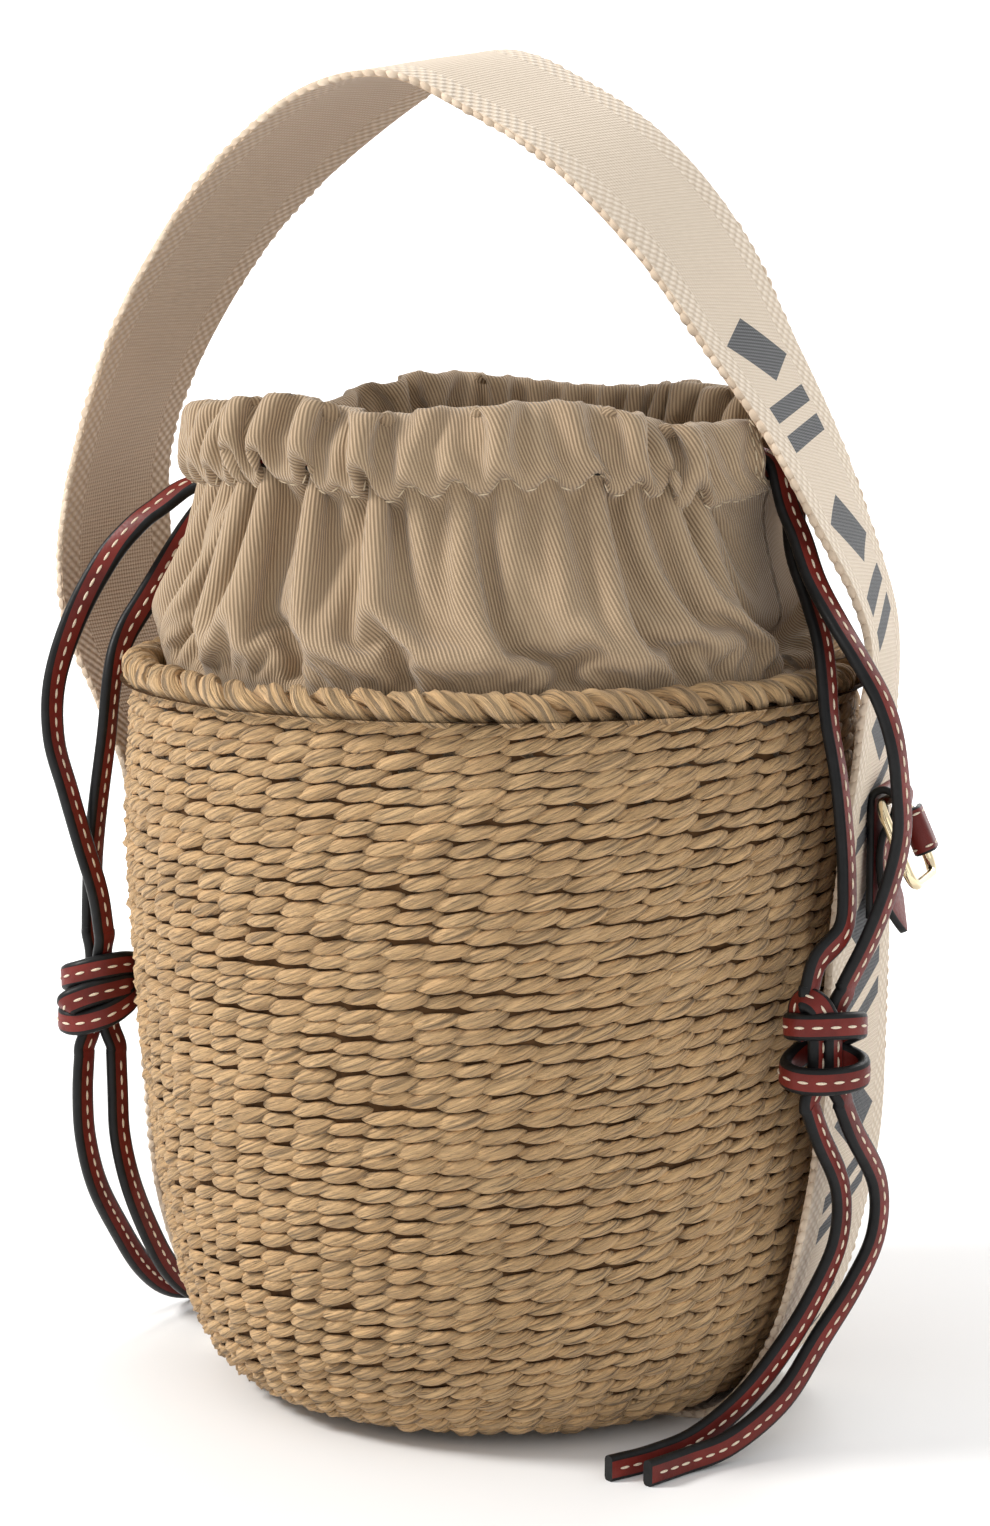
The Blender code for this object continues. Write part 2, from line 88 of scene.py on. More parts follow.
def even_points(points, step):
    """The line again, with points evenly about step apart."""
    along = lengths_along(points)
    at = np.linspace(0, along[-1], max(2, round(along[-1] / step)) + 1)
    return np.stack([np.interp(at, along, points[:, k]) for k in range(points.shape[1])], axis=1)


def waves(x, rng, count, low, high):
    """Smooth noise about one high, that repeats every turn of x, from sines of low to high per turn."""
    total = np.zeros_like(x, float)
    for _ in range(count):
        total += np.sin(rng.integers(low, high + 1) * x + rng.uniform(0, math.tau))
    return total * math.sqrt(2 / count)


class Shape:
    """Points, faces, materials' numbers and one vector for each point, gathered for one piece."""

    def __init__(self):
        self.points, self.faces, self.kinds, self.fields = [], [], [], []
        self.size = 0

    def add(self, points, faces, kind=0, field=None):
        points = np.asarray(points, float).reshape(-1, 3)
        self.points.append(points)
        self.fields.append(np.zeros_like(points) if field is None else np.reshape(field, (-1, 3)))
        for face in faces:
            self.faces.append(tuple(int(i) + self.size for i in face))
        self.kinds += [kind] * len(faces) if np.isscalar(kind) else list(kind)
        self.size += len(points)

    def piece(self, name, materials, sharp_angle=None):
        mesh = bpy.data.meshes.new(name)
        mesh.from_pydata(np.concatenate(self.points).tolist(), [], self.faces)
        for material in materials:
            mesh.materials.append(material)
        mesh.polygons.foreach_set("material_index", np.array(self.kinds, np.int32))
        where = mesh.attributes.new("where", "FLOAT_VECTOR", "POINT")
        where.data.foreach_set("vector", np.concatenate(self.fields).astype(np.float32).ravel())
        mesh.shade_smooth()
        if sharp_angle is not None:
            mesh.set_sharp_from_angle(angle=math.radians(sharp_angle))
        made = bpy.data.objects.new(name, mesh)
        bpy.context.scene.collection.objects.link(made)
        return made


def grid_faces(rows, columns, close_columns=False, close_rows=False, start=0):
    """Quads over a grid of points stored row by row."""
    faces = []
    for i in range(rows if close_rows else rows - 1):
        for j in range(columns if close_columns else columns - 1):
            a, b = i, (i + 1) % rows
            c, d = j, (j + 1) % columns
            faces.append((
                start + a * columns + c, start + a * columns + d,
                start + b * columns + d, start + b * columns + c,
            ))
    return faces


def tube_faces(rows, columns):
    """The faces of a closed tube of rings, with its two ends capped."""
    faces = [f[::-1] for f in grid_faces(rows, columns, close_columns=True)]
    faces.append(tuple(range(columns)))
    faces.append(tuple((rows - 1) * columns + j for j in range(columns))[::-1])
    return faces


# ---------------------------------------------------------------- materials


class Look:
    """One material, made from nodes. Its methods return the output socket of the node they add."""

    def __init__(self, name, **sockets):
        self.material = bpy.data.materials.new(name)
        self.material.use_nodes = True
        self.tree = self.material.node_tree
        self.shader = self.tree.nodes["Principled BSDF"]
        self.set(**sockets)

    def set(self, **sockets):
        """Sets the shader's sockets, by name with _ for a space, to a number, colour or output."""
        for name, value in sockets.items():
            self.put(self.shader.inputs[name.replace("_", " ")], value)

    def put(self, socket, value):
        if isinstance(value, bpy.types.NodeSocket):
            self.tree.links.new(value, socket)
        elif isinstance(value, tuple) and len(value) == 3 and socket.type == "RGBA":
            socket.default_value = (*value, 1.0)
        else:
            socket.default_value = value

    def add(self, kind, inputs=None, output=0, **settings):
        node = self.tree.nodes.new("ShaderNode" + kind)
        for name, value in settings.items():
            setattr(node, name, value)
        for name, value in (inputs or {}).items():
            self.put(node.inputs[name], value)
        return node.outputs[output]

    def math(self, operation, a, b=0.0):
        return self.add("Math", {0: a, 1: b}, operation=operation)

    def times(self, a, b):
        return self.math("MULTIPLY", a, b)

    def plus(self, a, b):
        return self.math("ADD", a, b)

    def where(self):
        """The piece's own coordinates, as its mesh holds them."""
        return self.add("Attribute", output="Vector", attribute_name="where")

    def split(self, vector):
        node = self.tree.nodes.new("ShaderNodeSeparateXYZ")
        self.put(node.inputs[0], vector)
        return node.outputs

    def join(self, x, y, z=0.0):
        return self.add("CombineXYZ", {0: x, 1: y, 2: z})

    def noise(self, vector, scale, detail=3.0, roughness=0.55, distortion=0.0):
        values = {"Vector": vector, "Scale": scale, "Detail": detail, "Roughness": roughness,
                  "Distortion": distortion}
        return self.add("TexNoise", values, output="Fac")

    def place(self):
        """Coordinates in metres that stay with the piece."""
        return self.add("TexCoord", output="Object")

    def ramp(self, factor, *stops):
        """A colour for each value: the stops are (value, colour or grey)."""
        node = self.tree.nodes.new("ShaderNodeValToRGB")
        self.put(node.inputs[0], factor)
        spots = node.color_ramp.elements
        while len(spots) < len(stops):
            spots.new(0.5)
        for spot, (at, color) in zip(spots, stops, strict=True):
            spot.position = at
            spot.color = (*color, 1.0) if isinstance(color, tuple) else (color, color, color, 1.0)
        return node.outputs[0]

    def mix(self, factor, a, b, how="MIX"):
        node = self.tree.nodes.new("ShaderNodeMix")
        node.data_type = "RGBA"
        node.blend_type = how
        self.put(node.inputs[0], factor)
        self.put(node.inputs[6], a)
        self.put(node.inputs[7], b)
        return node.outputs[2]

    def bump(self, height, distance, strength=1.0, normal=None):
        values = {"Height": height, "Distance": distance, "Strength": strength}
        if normal is not None:
            values["Normal"] = normal
        return self.add("Bump", values)


RIB_PITCH = 0.00105  # between the ribs of the twill, and of the webbing


def raffia_look():
    """Twisted paper straw.

    A point's coordinates: along its strand, across it, and the strand's whole number plus a share
    that says how far out of the weave the point stands, which darkens its low points as painted shade.
    """
    look = Look("raffia", Roughness=0.72, Specular_IOR_Level=0.25, Sheen_Weight=0.12, Sheen_Roughness=0.5)
    along, across, strand = look.split(look.where())
    drift = look.times(look.math("FLOOR", strand), 13.7)
    # painted shade: the weave's hollows are darkened by how far out of the weave each point stands
    painted_cavity_shade = look.ramp(look.math("FRACT", strand), (0.02, 0.12), (0.38, 0.66), (0.72, 1.0))
    coarse = look.join(look.times(along, 70.0), look.times(across, 950.0), drift)
    streaks = look.noise(coarse, 1.0, 3.0, 0.6, 0.6)
    close = look.join(look.times(along, 300.0), look.times(across, 2600.0), drift)
    fine = look.noise(close, 1.0, 2.0)
    patches = look.noise(look.place(), 28.0, 2.0)
    tone = look.noise(look.join(drift, look.times(along, 20.0)), 1.0, 1.0)
    color = look.ramp(tone, (0.30, (0.540, 0.335, 0.158)), (0.55, (0.635, 0.415, 0.208)),
                      (0.80, (0.730, 0.495, 0.262)))
    color = look.mix(look.times(patches, 0.30), color, (0.450, 0.275, 0.128))
    # painted shade: the creases in the straw are darkened
    painted_crease_shade = look.ramp(streaks, (0.34, 0.20), (0.46, 0.80), (0.60, 1.0))
    color = look.mix(0.80, color, look.mix(1.0, color, painted_crease_shade, "MULTIPLY"))
    color = look.mix(1.0, color, painted_cavity_shade, "MULTIPLY")
    height = look.plus(look.times(look.ramp(streaks, (0.2, 0.0), (0.62, 1.0)), 0.75),
                       look.times(fine, 0.25))
    look.set(Base_Color=color, Normal=look.bump(height, 0.0015, 1.0))
    return look.material


def painted_shade_look(name, color):
    """A plain dark backing, seen only in the gaps of the weave: painted shade for those gaps."""
    look = Look(name, Roughness=0.9, Specular_IOR_Level=0.1)
    grain = look.noise(look.place(), 400.0, 3.0)
    tones = tuple(tuple(c * f for c in color) for f in (0.6, 1.25))
    look.set(Base_Color=look.ramp(grain, (0.3, tones[0]), (0.7, tones[1])))
    look.set(Normal=look.bump(grain, 0.0005, 0.6))
    return look.material


def twill_look():
    """Cotton twill: steep diagonal ribs. A point's coordinates: round and up the cloth, in metres."""
    look = Look("cotton_twill", Roughness=0.85, Specular_IOR_Level=0.18, Sheen_Weight=0.25,
                Sheen_Roughness=0.45)
    across, up, _ = look.split(look.where())
    slant = look.plus(across, look.times(up, 0.26))
    ribs = look.math("SINE", look.times(slant, math.tau / RIB_PITCH))
    ribs = look.plus(look.times(ribs, 0.5), 0.5)
    cross = look.plus(up, look.times(across, 0.4))
    threads = look.math("SINE", look.times(cross, math.tau / 0.00055))
    fuzz = look.noise(look.place(), 1500.0, 2.0)
    patches = look.noise(look.place(), 45.0, 3.0)
    # painted shade: the valleys between the ribs are coloured darker than their crests
    color = look.mix(look.ramp(ribs, (0.15, 0.0), (0.75, 1.0)), (0.215, 0.148, 0.088),
                     (0.470, 0.340, 0.218))
    color = look.mix(look.ramp(patches, (0.35, 0.0), (0.70, 0.22)), color, (0.520, 0.392, 0.255))
    color = look.mix(look.times(fuzz, 0.2), color, (0.33, 0.24, 0.15))
    height = look.plus(ribs, look.times(threads, 0.12))
    look.set(Base_Color=color, Normal=look.bump(height, 0.00028, 0.8))
    return look.material


def lining_look():
    look = Look("lining_cloth", Roughness=0.9, Specular_IOR_Level=0.15, Sheen_Weight=0.15)
    weave = look.noise(look.place(), 1400.0, 2.0)
    patches = look.noise(look.place(), 40.0, 3.0)
    color = look.ramp(patches, (0.3, (0.300, 0.212, 0.128)), (0.7, (0.385, 0.280, 0.172)))
    look.set(Base_Color=look.mix(look.times(weave, 0.35), color, (0.22, 0.155, 0.09)))
    look.set(Normal=look.bump(weave, 0.0002, 0.5))
    return look.material


def leather_look(name, dark, light, gloss):
    look = Look(name, Specular_IOR_Level=0.24, Coat_Weight=0.05, Coat_Roughness=0.30)
    cells = look.add("TexVoronoi", {"Vector": look.place(), "Scale": 1900.0}, output="Distance")
    clouds = look.noise(look.place(), 90.0, 4.0)
    pores = look.noise(look.place(), 900.0, 2.0)
    look.set(Base_Color=look.ramp(clouds, (0.32, dark), (0.70, light)))
    look.set(Roughness=look.ramp(pores, (0.3, gloss - 0.08), (0.7, gloss + 0.10)))
    height = look.plus(look.times(cells, 0.6), pores)
    look.set(Normal=look.bump(height, 0.00012, 0.45))
    return look.material


def edge_paint_look():
    look = Look("black_edge_paint", Specular_IOR_Level=0.22)
    waver = look.noise(look.place(), 260.0, 3.0)
    fine = look.noise(look.place(), 1400.0, 2.0)
    dark, light = (0.0040, 0.0040, 0.0042), (0.0085, 0.0085, 0.0090)
    look.set(Base_Color=look.ramp(waver, (0.3, dark), (0.7, light)))
    look.set(Roughness=look.ramp(fine, (0.3, 0.36), (0.7, 0.52)))
    look.set(Normal=look.bump(waver, 0.0003, 0.5))
    return look.material


def thread_look(name, color):
    look = Look(name, Roughness=0.75, Specular_IOR_Level=0.25, Sheen_Weight=0.2)
    fibre = look.noise(look.place(), 2200.0, 2.0)
    low, high = (tuple(c * f for c in color) for f in (0.72, 1.1))
    look.set(Base_Color=look.ramp(fibre, (0.3, low), (0.7, high)))
    look.set(Normal=look.bump(fibre, 0.0002, 0.6))
    return look.material


def gold_look():
    look = Look("pale_gold", Metallic=1.0)
    smear = look.noise(look.place(), 120.0, 3.0)
    fine = look.noise(look.place(), 1200.0, 2.0)
    look.set(Base_Color=look.ramp(smear, (0.3, (0.80, 0.655, 0.415)), (0.7, (0.90, 0.77, 0.54))))
    look.set(Roughness=look.ramp(smear, (0.3, 0.10), (0.7, 0.22)))
    look.set(Normal=look.bump(fine, 0.00004, 0.2))
    return look.material


def webbing_look():
    """Cotton webbing, its inner face painted darker as shade. A point's coordinates: along it and across it
    in metres, then 1 on its outer face.
    """
    look = Look("cotton_webbing", Roughness=0.8, Specular_IOR_Level=0.2, Sheen_Weight=0.2,
                Sheen_Roughness=0.5)
    along, across, outer = look.split(look.where())
    side = look.math("ABSOLUTE", across)
    border = look.ramp(look.times(side, 40.0), (0.655, 0.0), (0.675, 1.0))
    ribs = look.math("SINE", look.times(along, math.tau / RIB_PITCH))
    picks = look.math("SINE", look.times(across, math.tau / 0.0011))
    plain = look.plus(look.times(ribs, 0.30), look.times(picks, 0.16))
    cross = look.times(look.math("SINE", look.times(along, math.tau / 0.0030)),
                      look.math("SINE", look.times(side, math.tau / 0.0036)))
    relief = look.add("Mix", {0: border, 2: plain, 3: cross})
    fuzz = look.noise(look.place(), 1500.0, 2.0)
    patches = look.noise(look.place(), 24.0, 3.0)
    # painted shade: the inner face is coloured darker than the outer face
    face = look.mix(outer, (0.560, 0.420, 0.300), (0.765, 0.655, 0.525))
    # painted shade: the weave's low spots are coloured darker
    color = look.mix(look.ramp(relief, (0.0, 0.5), (0.55, 0.0)), face,
                     look.mix(1.0, face, (0.66, 0.60, 0.54), "MULTIPLY"))
    faded = look.times(patches, 0.25)
    color = look.mix(faded, color, look.mix(1.0, face, (0.86, 0.83, 0.79), "MULTIPLY"))
    printed = look.times(printed_motif(look, along, across), outer)
    ink = look.ramp(fuzz, (0.3, (0.042, 0.044, 0.047)), (0.7, (0.075, 0.077, 0.081)))
    color = look.mix(printed, color, ink)
    height = look.plus(relief, look.times(fuzz, 0.25))
    look.set(Base_Color=color, Normal=look.bump(height, 0.00038, 0.8))
    return look.material


MOTIF_PITCH = 0.052
MOTIF_FREE = 0.104  # how far from the crest of the handle the printing starts
DIAMOND_PLACE = -0.010  # along the webbing, from the middle of one pitch
DIAMOND_HALF = (0.0095, 0.0155)  # along and across
BAR_PLACES = (0.0065, 0.0150)
BAR_HALF, BAR_REACH, BAR_SLANT = 0.0024, 0.0150, 0.35


def printed_motif(look, along, across):
    """1 inside a plain repeated motif of a solid diamond and two slanting bars, 0 outside it."""
    clear = look.math("GREATER_THAN", look.math("ABSOLUTE", along), MOTIF_FREE)
    spot = look.math("SUBTRACT", look.math("FLOORED_MODULO", along, MOTIF_PITCH), MOTIF_PITCH / 2)
    from_diamond = look.plus(spot, -DIAMOND_PLACE)
    along_share = look.math("ABSOLUTE", look.math("DIVIDE", from_diamond, DIAMOND_HALF[0]))
    across_share = look.math("ABSOLUTE", look.math("DIVIDE", across, DIAMOND_HALF[1]))
    diamond = look.math("LESS_THAN", look.plus(along_share, across_share), 1.0)
    slanted = look.plus(spot, look.times(across, BAR_SLANT))
    within = look.math("LESS_THAN", look.math("ABSOLUTE", across), BAR_REACH)
    bars = 0.0
    for place in BAR_PLACES:
        away = look.math("ABSOLUTE", look.math("SUBTRACT", slanted, place))
        bars = look.math("MAXIMUM", bars, look.math("LESS_THAN", away, BAR_HALF))
    bars = look.times(bars, within)
    return look.times(look.math("MAXIMUM", diamond, bars), clear)


def floor_look():
    """A pale floor that glows a little far from the bag, so that it fades into the white room."""
    look = Look("pale_floor", Roughness=0.6, Specular_IOR_Level=0.2)
    look.set(Base_Color=look.ramp(look.noise(look.place(), 3.0), (0.3, 0.86), (0.7, 0.88)))
    x, y, _ = look.split(look.place())
    far = look.math("POWER", look.plus(look.times(x, x), look.times(y, y)), 0.5)
    glow = look.ramp(far, (0.22, 0.0), (0.75, 0.45))
    look.set(Emission_Color=(1.0, 1.0, 1.0), Emission_Strength=glow)
    return look.material


# ---------------------------------------------------------------- camera and light


LENS = 84.7  # millimetres, for a frame 36 mm high


def make_camera():
    """At the place that the bag is looked at from: 25 degrees round from the front, a little above."""
    aim = Vector((0.0, 0.0, 0.1685))
    away, turn, height = 0.96, math.radians(25.0), 0.312
    camera = bpy.data.objects.new("camera", bpy.data.cameras.new("camera"))
    bpy.context.scene.collection.objects.link(camera)
    camera.location = (away * math.sin(turn), -away * math.cos(turn), height)
    camera.rotation_euler = (aim - camera.location).to_track_quat("-Z", "Y").to_euler()
    camera.data.sensor_fit = "VERTICAL"
    camera.data.sensor_height = 36.0
    camera.data.lens = LENS
    bpy.context.scene.camera = camera


def area_light(name, place, size, power, color=(1.0, 1.0, 1.0), aim=(0.0, 0.0, 0.16)):
    lamp = bpy.data.lights.new(name, "AREA")
    lamp.shape = "DISK"
    lamp.size = size
    lamp.energy = power
    lamp.color = color
    made = bpy.data.objects.new(name, lamp)
    bpy.context.scene.collection.objects.link(made)
    made.location = place
    made.rotation_euler = (Vector(aim) - made.location).to_track_quat("-Z", "Y").to_euler()


WORLD_STRENGTH = 0.78


def make_light():
    """A white room, a large key light from the left, a faint fill and one from behind."""
    world = bpy.data.worlds.new("studio")
    bpy.context.scene.world = world
    world.use_nodes = True
    background = world.node_tree.nodes["Background"]
    background.inputs["Color"].default_value = (1.0, 1.0, 1.0, 1.0)
    background.inputs["Strength"].default_value = WORLD_STRENGTH
    area_light("key", (-1.15, -0.80, 1.20), 0.50, 27.0, (1.0, 0.985, 0.96))
    area_light("fill", (1.30, -0.70, 0.55), 0.90, 1.5)
    area_light("back", (0.15, 1.20, 1.10), 0.80, 10.0)
    scene = bpy.context.scene
    scene.view_settings.view_transform = "Standard"
    scene.view_settings.look = "None"


def make_floor():
    """A wide floor that bends up into a wall behind the bag."""
    shape = Shape()
    reach, deep, tall, bend = 2.5, 1.6, 1.6, 0.5
    outline = [(-reach, 0.0), (deep, 0.0)]
    for i in range(1, 9):
        a = math.radians(90.0 * i / 8)
        outline.append((deep + bend * math.sin(a), bend * (1 - math.cos(a))))
    outline.append((deep + bend, tall))
    points = [(x, y, z) for y, z in outline for x in (-reach, reach)]
    shape.add(points, grid_faces(len(outline), 2))
    floor = shape.piece("floor", [floor_look()])


# ---------------------------------------------------------------- leather laces

LACE_WIDTH = 0.0070
LACE_THICKNESS = 0.0031
HEM_LACE_WIDTH = 0.0062
HEM_LACE_HEIGHT = 0.2549
HEM_LACE_RADII = {"left": 0.0764, "right": 0.0797}  # one runs inside the other
HEM_LACE_GAP = 11.5  # degrees from the X axis to each of its ends
EDGE_SHARE = 0.42  # a strip's edge radius, as a share of its thickness
GRAIN, EDGE, THREAD = 0, 1, 2  # a leather piece's materials
# Rows of stitches: their pitch, a stitch's length, and half its width and height.
LACE_STITCH = (0.0041, 0.0027, (0.00036, 0.00030))
TAB_STITCH = (0.0034, 0.0024, (0.00030, 0.00025))
TAB_CROSS_STITCH = (0.0031, 0.0022, (0.00030, 0.00025))
SEAM_STITCH = (0.0036, 0.0027, (0.00028, 0.00024))
SEAM_LIFT = 0.00045

LACE_ROUTES = {
    "cord_left_front": [
        (-0.0775, -0.0102, 0.2440), (-0.0804, -0.0090, 0.2439), (-0.0845, -0.0090, 0.2428),
        (-0.0895, -0.0115, 0.2405), (-0.0945, -0.0155, 0.2360), (-0.1000, -0.0190, 0.2310),
        (-0.1065, -0.0235, 0.2220), (-0.1140, -0.0285, 0.2060), (-0.1185, -0.0325, 0.1885),
        (-0.1170, -0.0360, 0.1730), (-0.1105, -0.0395, 0.1590), (-0.1040, -0.0425, 0.1450),
        (-0.1000, -0.0420, 0.1320), (-0.0995, -0.0398, 0.1198),
    ],
    "cord_left_back": [
        (-0.0775, 0.0102, 0.2440), (-0.0804, 0.0088, 0.2440), (-0.0845, 0.0078, 0.2418),
        (-0.0885, 0.0020, 0.2360), (-0.0920, -0.0070, 0.2265), (-0.0960, -0.0190, 0.2120),
        (-0.1000, -0.0260, 0.2010), (-0.1015, -0.0300, 0.1900), (-0.1030, -0.0315, 0.1730),
        (-0.1050, -0.0325, 0.1570), (-0.1070, -0.0325, 0.1420), (-0.1080, -0.0320, 0.1300),
        (-0.1080, -0.0325, 0.1194),
    ],
    "cord_right_front": [
        (0.0775, -0.0102, 0.2540), (0.0802, -0.0090, 0.2539), (0.0838, -0.0090, 0.2508),
        (0.0878, -0.0118, 0.2410), (0.0925, -0.0155, 0.2340), (0.0985, -0.0210, 0.2240),
        (0.1070, -0.0270, 0.2140), (0.1145, -0.0305, 0.2050), (0.1205, -0.0320, 0.1960),
        (0.1240, -0.0320, 0.1860), (0.1250, -0.0300, 0.1740), (0.1250, -0.0285, 0.1620),
        (0.1220, -0.0280, 0.1490), (0.1170, -0.0285, 0.1350), (0.1112, -0.0300, 0.1224),
    ],
    "cord_right_back": [
        (0.0775, 0.0102, 0.2540), (0.0802, 0.0088, 0.2539), (0.0836, 0.0066, 0.2508),
        (0.0850, 0.0000, 0.2400), (0.0885, -0.0075, 0.2285), (0.0950, -0.0140, 0.2175),
        (0.1005, -0.0205, 0.2085), (0.1035, -0.0250, 0.1990), (0.1055, -0.0280, 0.1890),
        (0.1080, -0.0290, 0.1780), (0.1100, -0.0295, 0.1650), (0.1115, -0.0305, 0.1500),
        (0.1115, -0.0325, 0.1380), (0.1063, -0.0367, 0.1300), (0.1045, -0.0380, 0.1224),
    ],
    "tail_left_front": [
        (-0.1070, -0.0390, 0.0868), (-0.1072, -0.0400, 0.0750), (-0.1075, -0.0385, 0.0620),
        (-0.1080, -0.0320, 0.0470), (-0.1090, -0.0190, 0.0310), (-0.1090, -0.0060, 0.0165),
        (-0.1080, 0.0080, 0.0068), (-0.1050, 0.0230, 0.0033), (-0.1000, 0.0370, 0.0032),
        (-0.0935, 0.0500, 0.0032),
    ],
    "tail_left_back": [
        (-0.1005, -0.0330, 0.0868), (-0.1002, -0.0330, 0.0750), (-0.1003, -0.0320, 0.0620),
        (-0.1008, -0.0260, 0.0470), (-0.1012, -0.0160, 0.0310), (-0.1008, -0.0050, 0.0165),
        (-0.1000, 0.0080, 0.0068), (-0.0970, 0.0210, 0.0033), (-0.0912, 0.0335, 0.0032),
        (-0.0830, 0.0455, 0.0032),
    ],
    "tail_right_front": [
        (0.1045, -0.0365, 0.0928), (0.1060, -0.0325, 0.0840), (0.1080, -0.0225, 0.0690),
        (0.1065, -0.0185, 0.0540), (0.1015, -0.0195, 0.0400), (0.0950, -0.0250, 0.0260),
        (0.0870, -0.0345, 0.0130), (0.0790, -0.0480, 0.0052), (0.0720, -0.0610, 0.0032),
        (0.0655, -0.0730, 0.0032),
    ],
    "tail_right_back": [
        (0.1110, -0.0300, 0.0928), (0.1130, -0.0260, 0.0840), (0.1155, -0.0150, 0.0690),
        (0.1140, -0.0110, 0.0540), (0.1085, -0.0120, 0.0400), (0.1015, -0.0180, 0.0260),
        (0.0960, -0.0305, 0.0130), (0.0882, -0.0470, 0.0052), (0.0808, -0.0600, 0.0033),
        (0.0760, -0.0725, 0.0033),
    ],
}


def strip_section(width, thickness, rounding=5):
    """A flat strip's outline as (across, out): both faces flat, both edges round."""
    edge = thickness * EDGE_SHARE
    flat = width / 2 - edge
    out = []
    for side in (1, -1):
        for k in range(rounding + 1):
            a = math.radians(90 - 180 * k / rounding)
            out.append((side * (flat + edge * math.cos(a)), side * thickness / 2 * math.sin(a)))
    return out


def swept_strip(shape, path, face, width, thickness):
    """A leather strip along a path: face is the way that its grain side looks at each point.

    Returns that way, made square to the path.
    """
    path = np.asarray(path, float)
    along = unit(np.gradient(path, axis=0))
    face = np.broadcast_to(np.asarray(face, float), path.shape)
    out = unit(face - (face * along).sum(1)[:, None] * along)
    across = np.cross(along, out)
    section = strip_section(width, thickness)
    n = len(section)
    rings = np.stack([path + across * x + out * y for x, y in section], axis=1)
    faces, kind = [], []
    half = n // 2
    for i in range(len(path) - 1):
        for j in range(n):
            k = (j + 1) % n
            faces.append((i * n + j, (i + 1) * n + j, (i + 1) * n + k, i * n + k))
            kind.append(GRAIN if j in (half - 1, n - 1) else EDGE)
    faces.append(tuple(range(n)))
    faces.append(tuple((len(path) - 1) * n + j for j in range(n))[::-1])
    kind += [EDGE] * 2
    shape.add(rings, faces, kind)
    return out


def stitch(shape, middle, along, out, length, half, kind):
    """One short thread: a smooth pod that lies on a face."""
    across = np.cross(along, out)
    points, rows, sides = [], 5, 6
    for i in range(rows):
        s = i / (rows - 1)
        fat = (0.35 + 0.65 * math.sin(math.pi * s) ** 0.6)
        for j in range(sides):
            a = math.tau * j / sides
            points.append(middle + along * (s - 0.5) * length + across * half[0] * fat * math.cos(a)
                          + out * half[1] * fat * (math.sin(a) + 0.25))
    shape.add(points, tube_faces(rows, sides), kind)


def stitch_row(shape, path, out, pitch, length, half, kind, lift, across=0.0, margin=0.0015):
    """Threads in a row along a path, lift above it on its out side and across to one side of it."""
    path = np.asarray(path, float)
    along = lengths_along(path)
    tangent = unit(np.gradient(path, axis=0))
    sideways = np.cross(tangent, out)
    count = int((along[-1] - 2 * margin) / pitch)
    first = (along[-1] - (count - 1) * pitch) / 2
    for i in range(count):
        at = first + i * pitch
        spot, way, up, side = (
            np.array([np.interp(at, along, line[:, k]) for k in range(3)])
            for line in (path, tangent, out, sideways)
        )
        stitch(shape, spot + unit(up) * lift + side * across, unit(way), unit(up), length, half, kind)


def make_lace(name, materials, body, turn):
    """A flat lace along its route: turn is the way its grain side looks, at its start and at its end."""
    path = even_points(catmull_rom(LACE_ROUTES[name], 12), 0.0022)
    share = np.linspace(0, 1, len(path))[:, None]
    face = unit(np.array(turn[0]) * (1 - share) + np.array(turn[1]) * share)
    shape = Shape()
    out = swept_strip(shape, path, face, LACE_WIDTH, LACE_THICKNESS)
    for side in (1, -1):
        stitch_row(shape, path, out * side, *LACE_STITCH, THREAD, LACE_THICKNESS / 2)
    lace = shape.piece(name + "_lace", materials, 50)
    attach(lace, body)
    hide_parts(name)
    return lace


# Each knot's wraps, as (degrees round the knot from its front, reach across, reach along, height), in mm.
KNOT_WRAPS = {
    "knot_right": [
        [(-150, 5.5, 7.0, 4.0), (-100, 7.0, 9.0, 5.6), (-45, 7.6, 9.6, 6.6), (0, 7.8, 9.6, 7.0),
         (45, 7.6, 9.6, 6.4), (100, 7.0, 9.4, 4.5), (150, 6.6, 9.0, 1.0), (200, 6.6, 9.0, -2.5),
         (250, 7.2, 9.8, -5.5), (310, 8.2, 10.6, -7.0), (360, 8.4, 10.8, -7.0),
         (410, 8.2, 10.8, -6.4), (460, 7.2, 9.6, -4.8), (500, 5.8, 7.4, -3.0)],
    ],
    "knot_left": [
        [(-150, 5.5, 7.0, 2.0), (-100, 7.0, 8.8, 3.6), (-45, 7.6, 9.4, 6.2), (0, 7.8, 9.4, 8.2),
         (45, 7.6, 9.4, 8.4), (100, 7.0, 9.2, 6.0), (150, 6.6, 9.0, 2.0), (200, 6.6, 9.0, -2.5),
         (250, 7.2, 9.8, -6.5), (310, 8.0, 10.4, -7.6), (360, 8.4, 10.4, -5.4),
         (410, 8.0, 10.0, -1.6), (460, 7.0, 8.6, 1.2), (500, 5.6, 6.6, 2.6)],
    ],
}
# Each knot's bight, which arches out of its top, as (across, along, up) in mm from its middle.
KNOT_BIGHTS = {
    "knot_right": [(1.0, -4.0, 3.0), (1.0, -6.8, 9.0), (2.6, -6.4, 13.0), (5.2, -3.4, 11.8),
                   (6.0, -0.6, 6.5)],
    "knot_left": [(2.0, 5.0, -1.0), (5.4, 7.2, 2.2), (7.8, 2.0, 2.0), (8.4, -4.0, 0.8), (6.6, -9.2, -1.6),
                  (3.0, -8.4, -4.0)],
}
KNOTS = {
    "knot_left": ((-0.1037, -0.0360, 0.1033), "left_drawstring"),
    "knot_right": ((0.1073, -0.0340, 0.1076), "right_drawstring"),
}
KNOT_FRONT = math.radians(-52.0)  # which way a knot's front looks, from +X


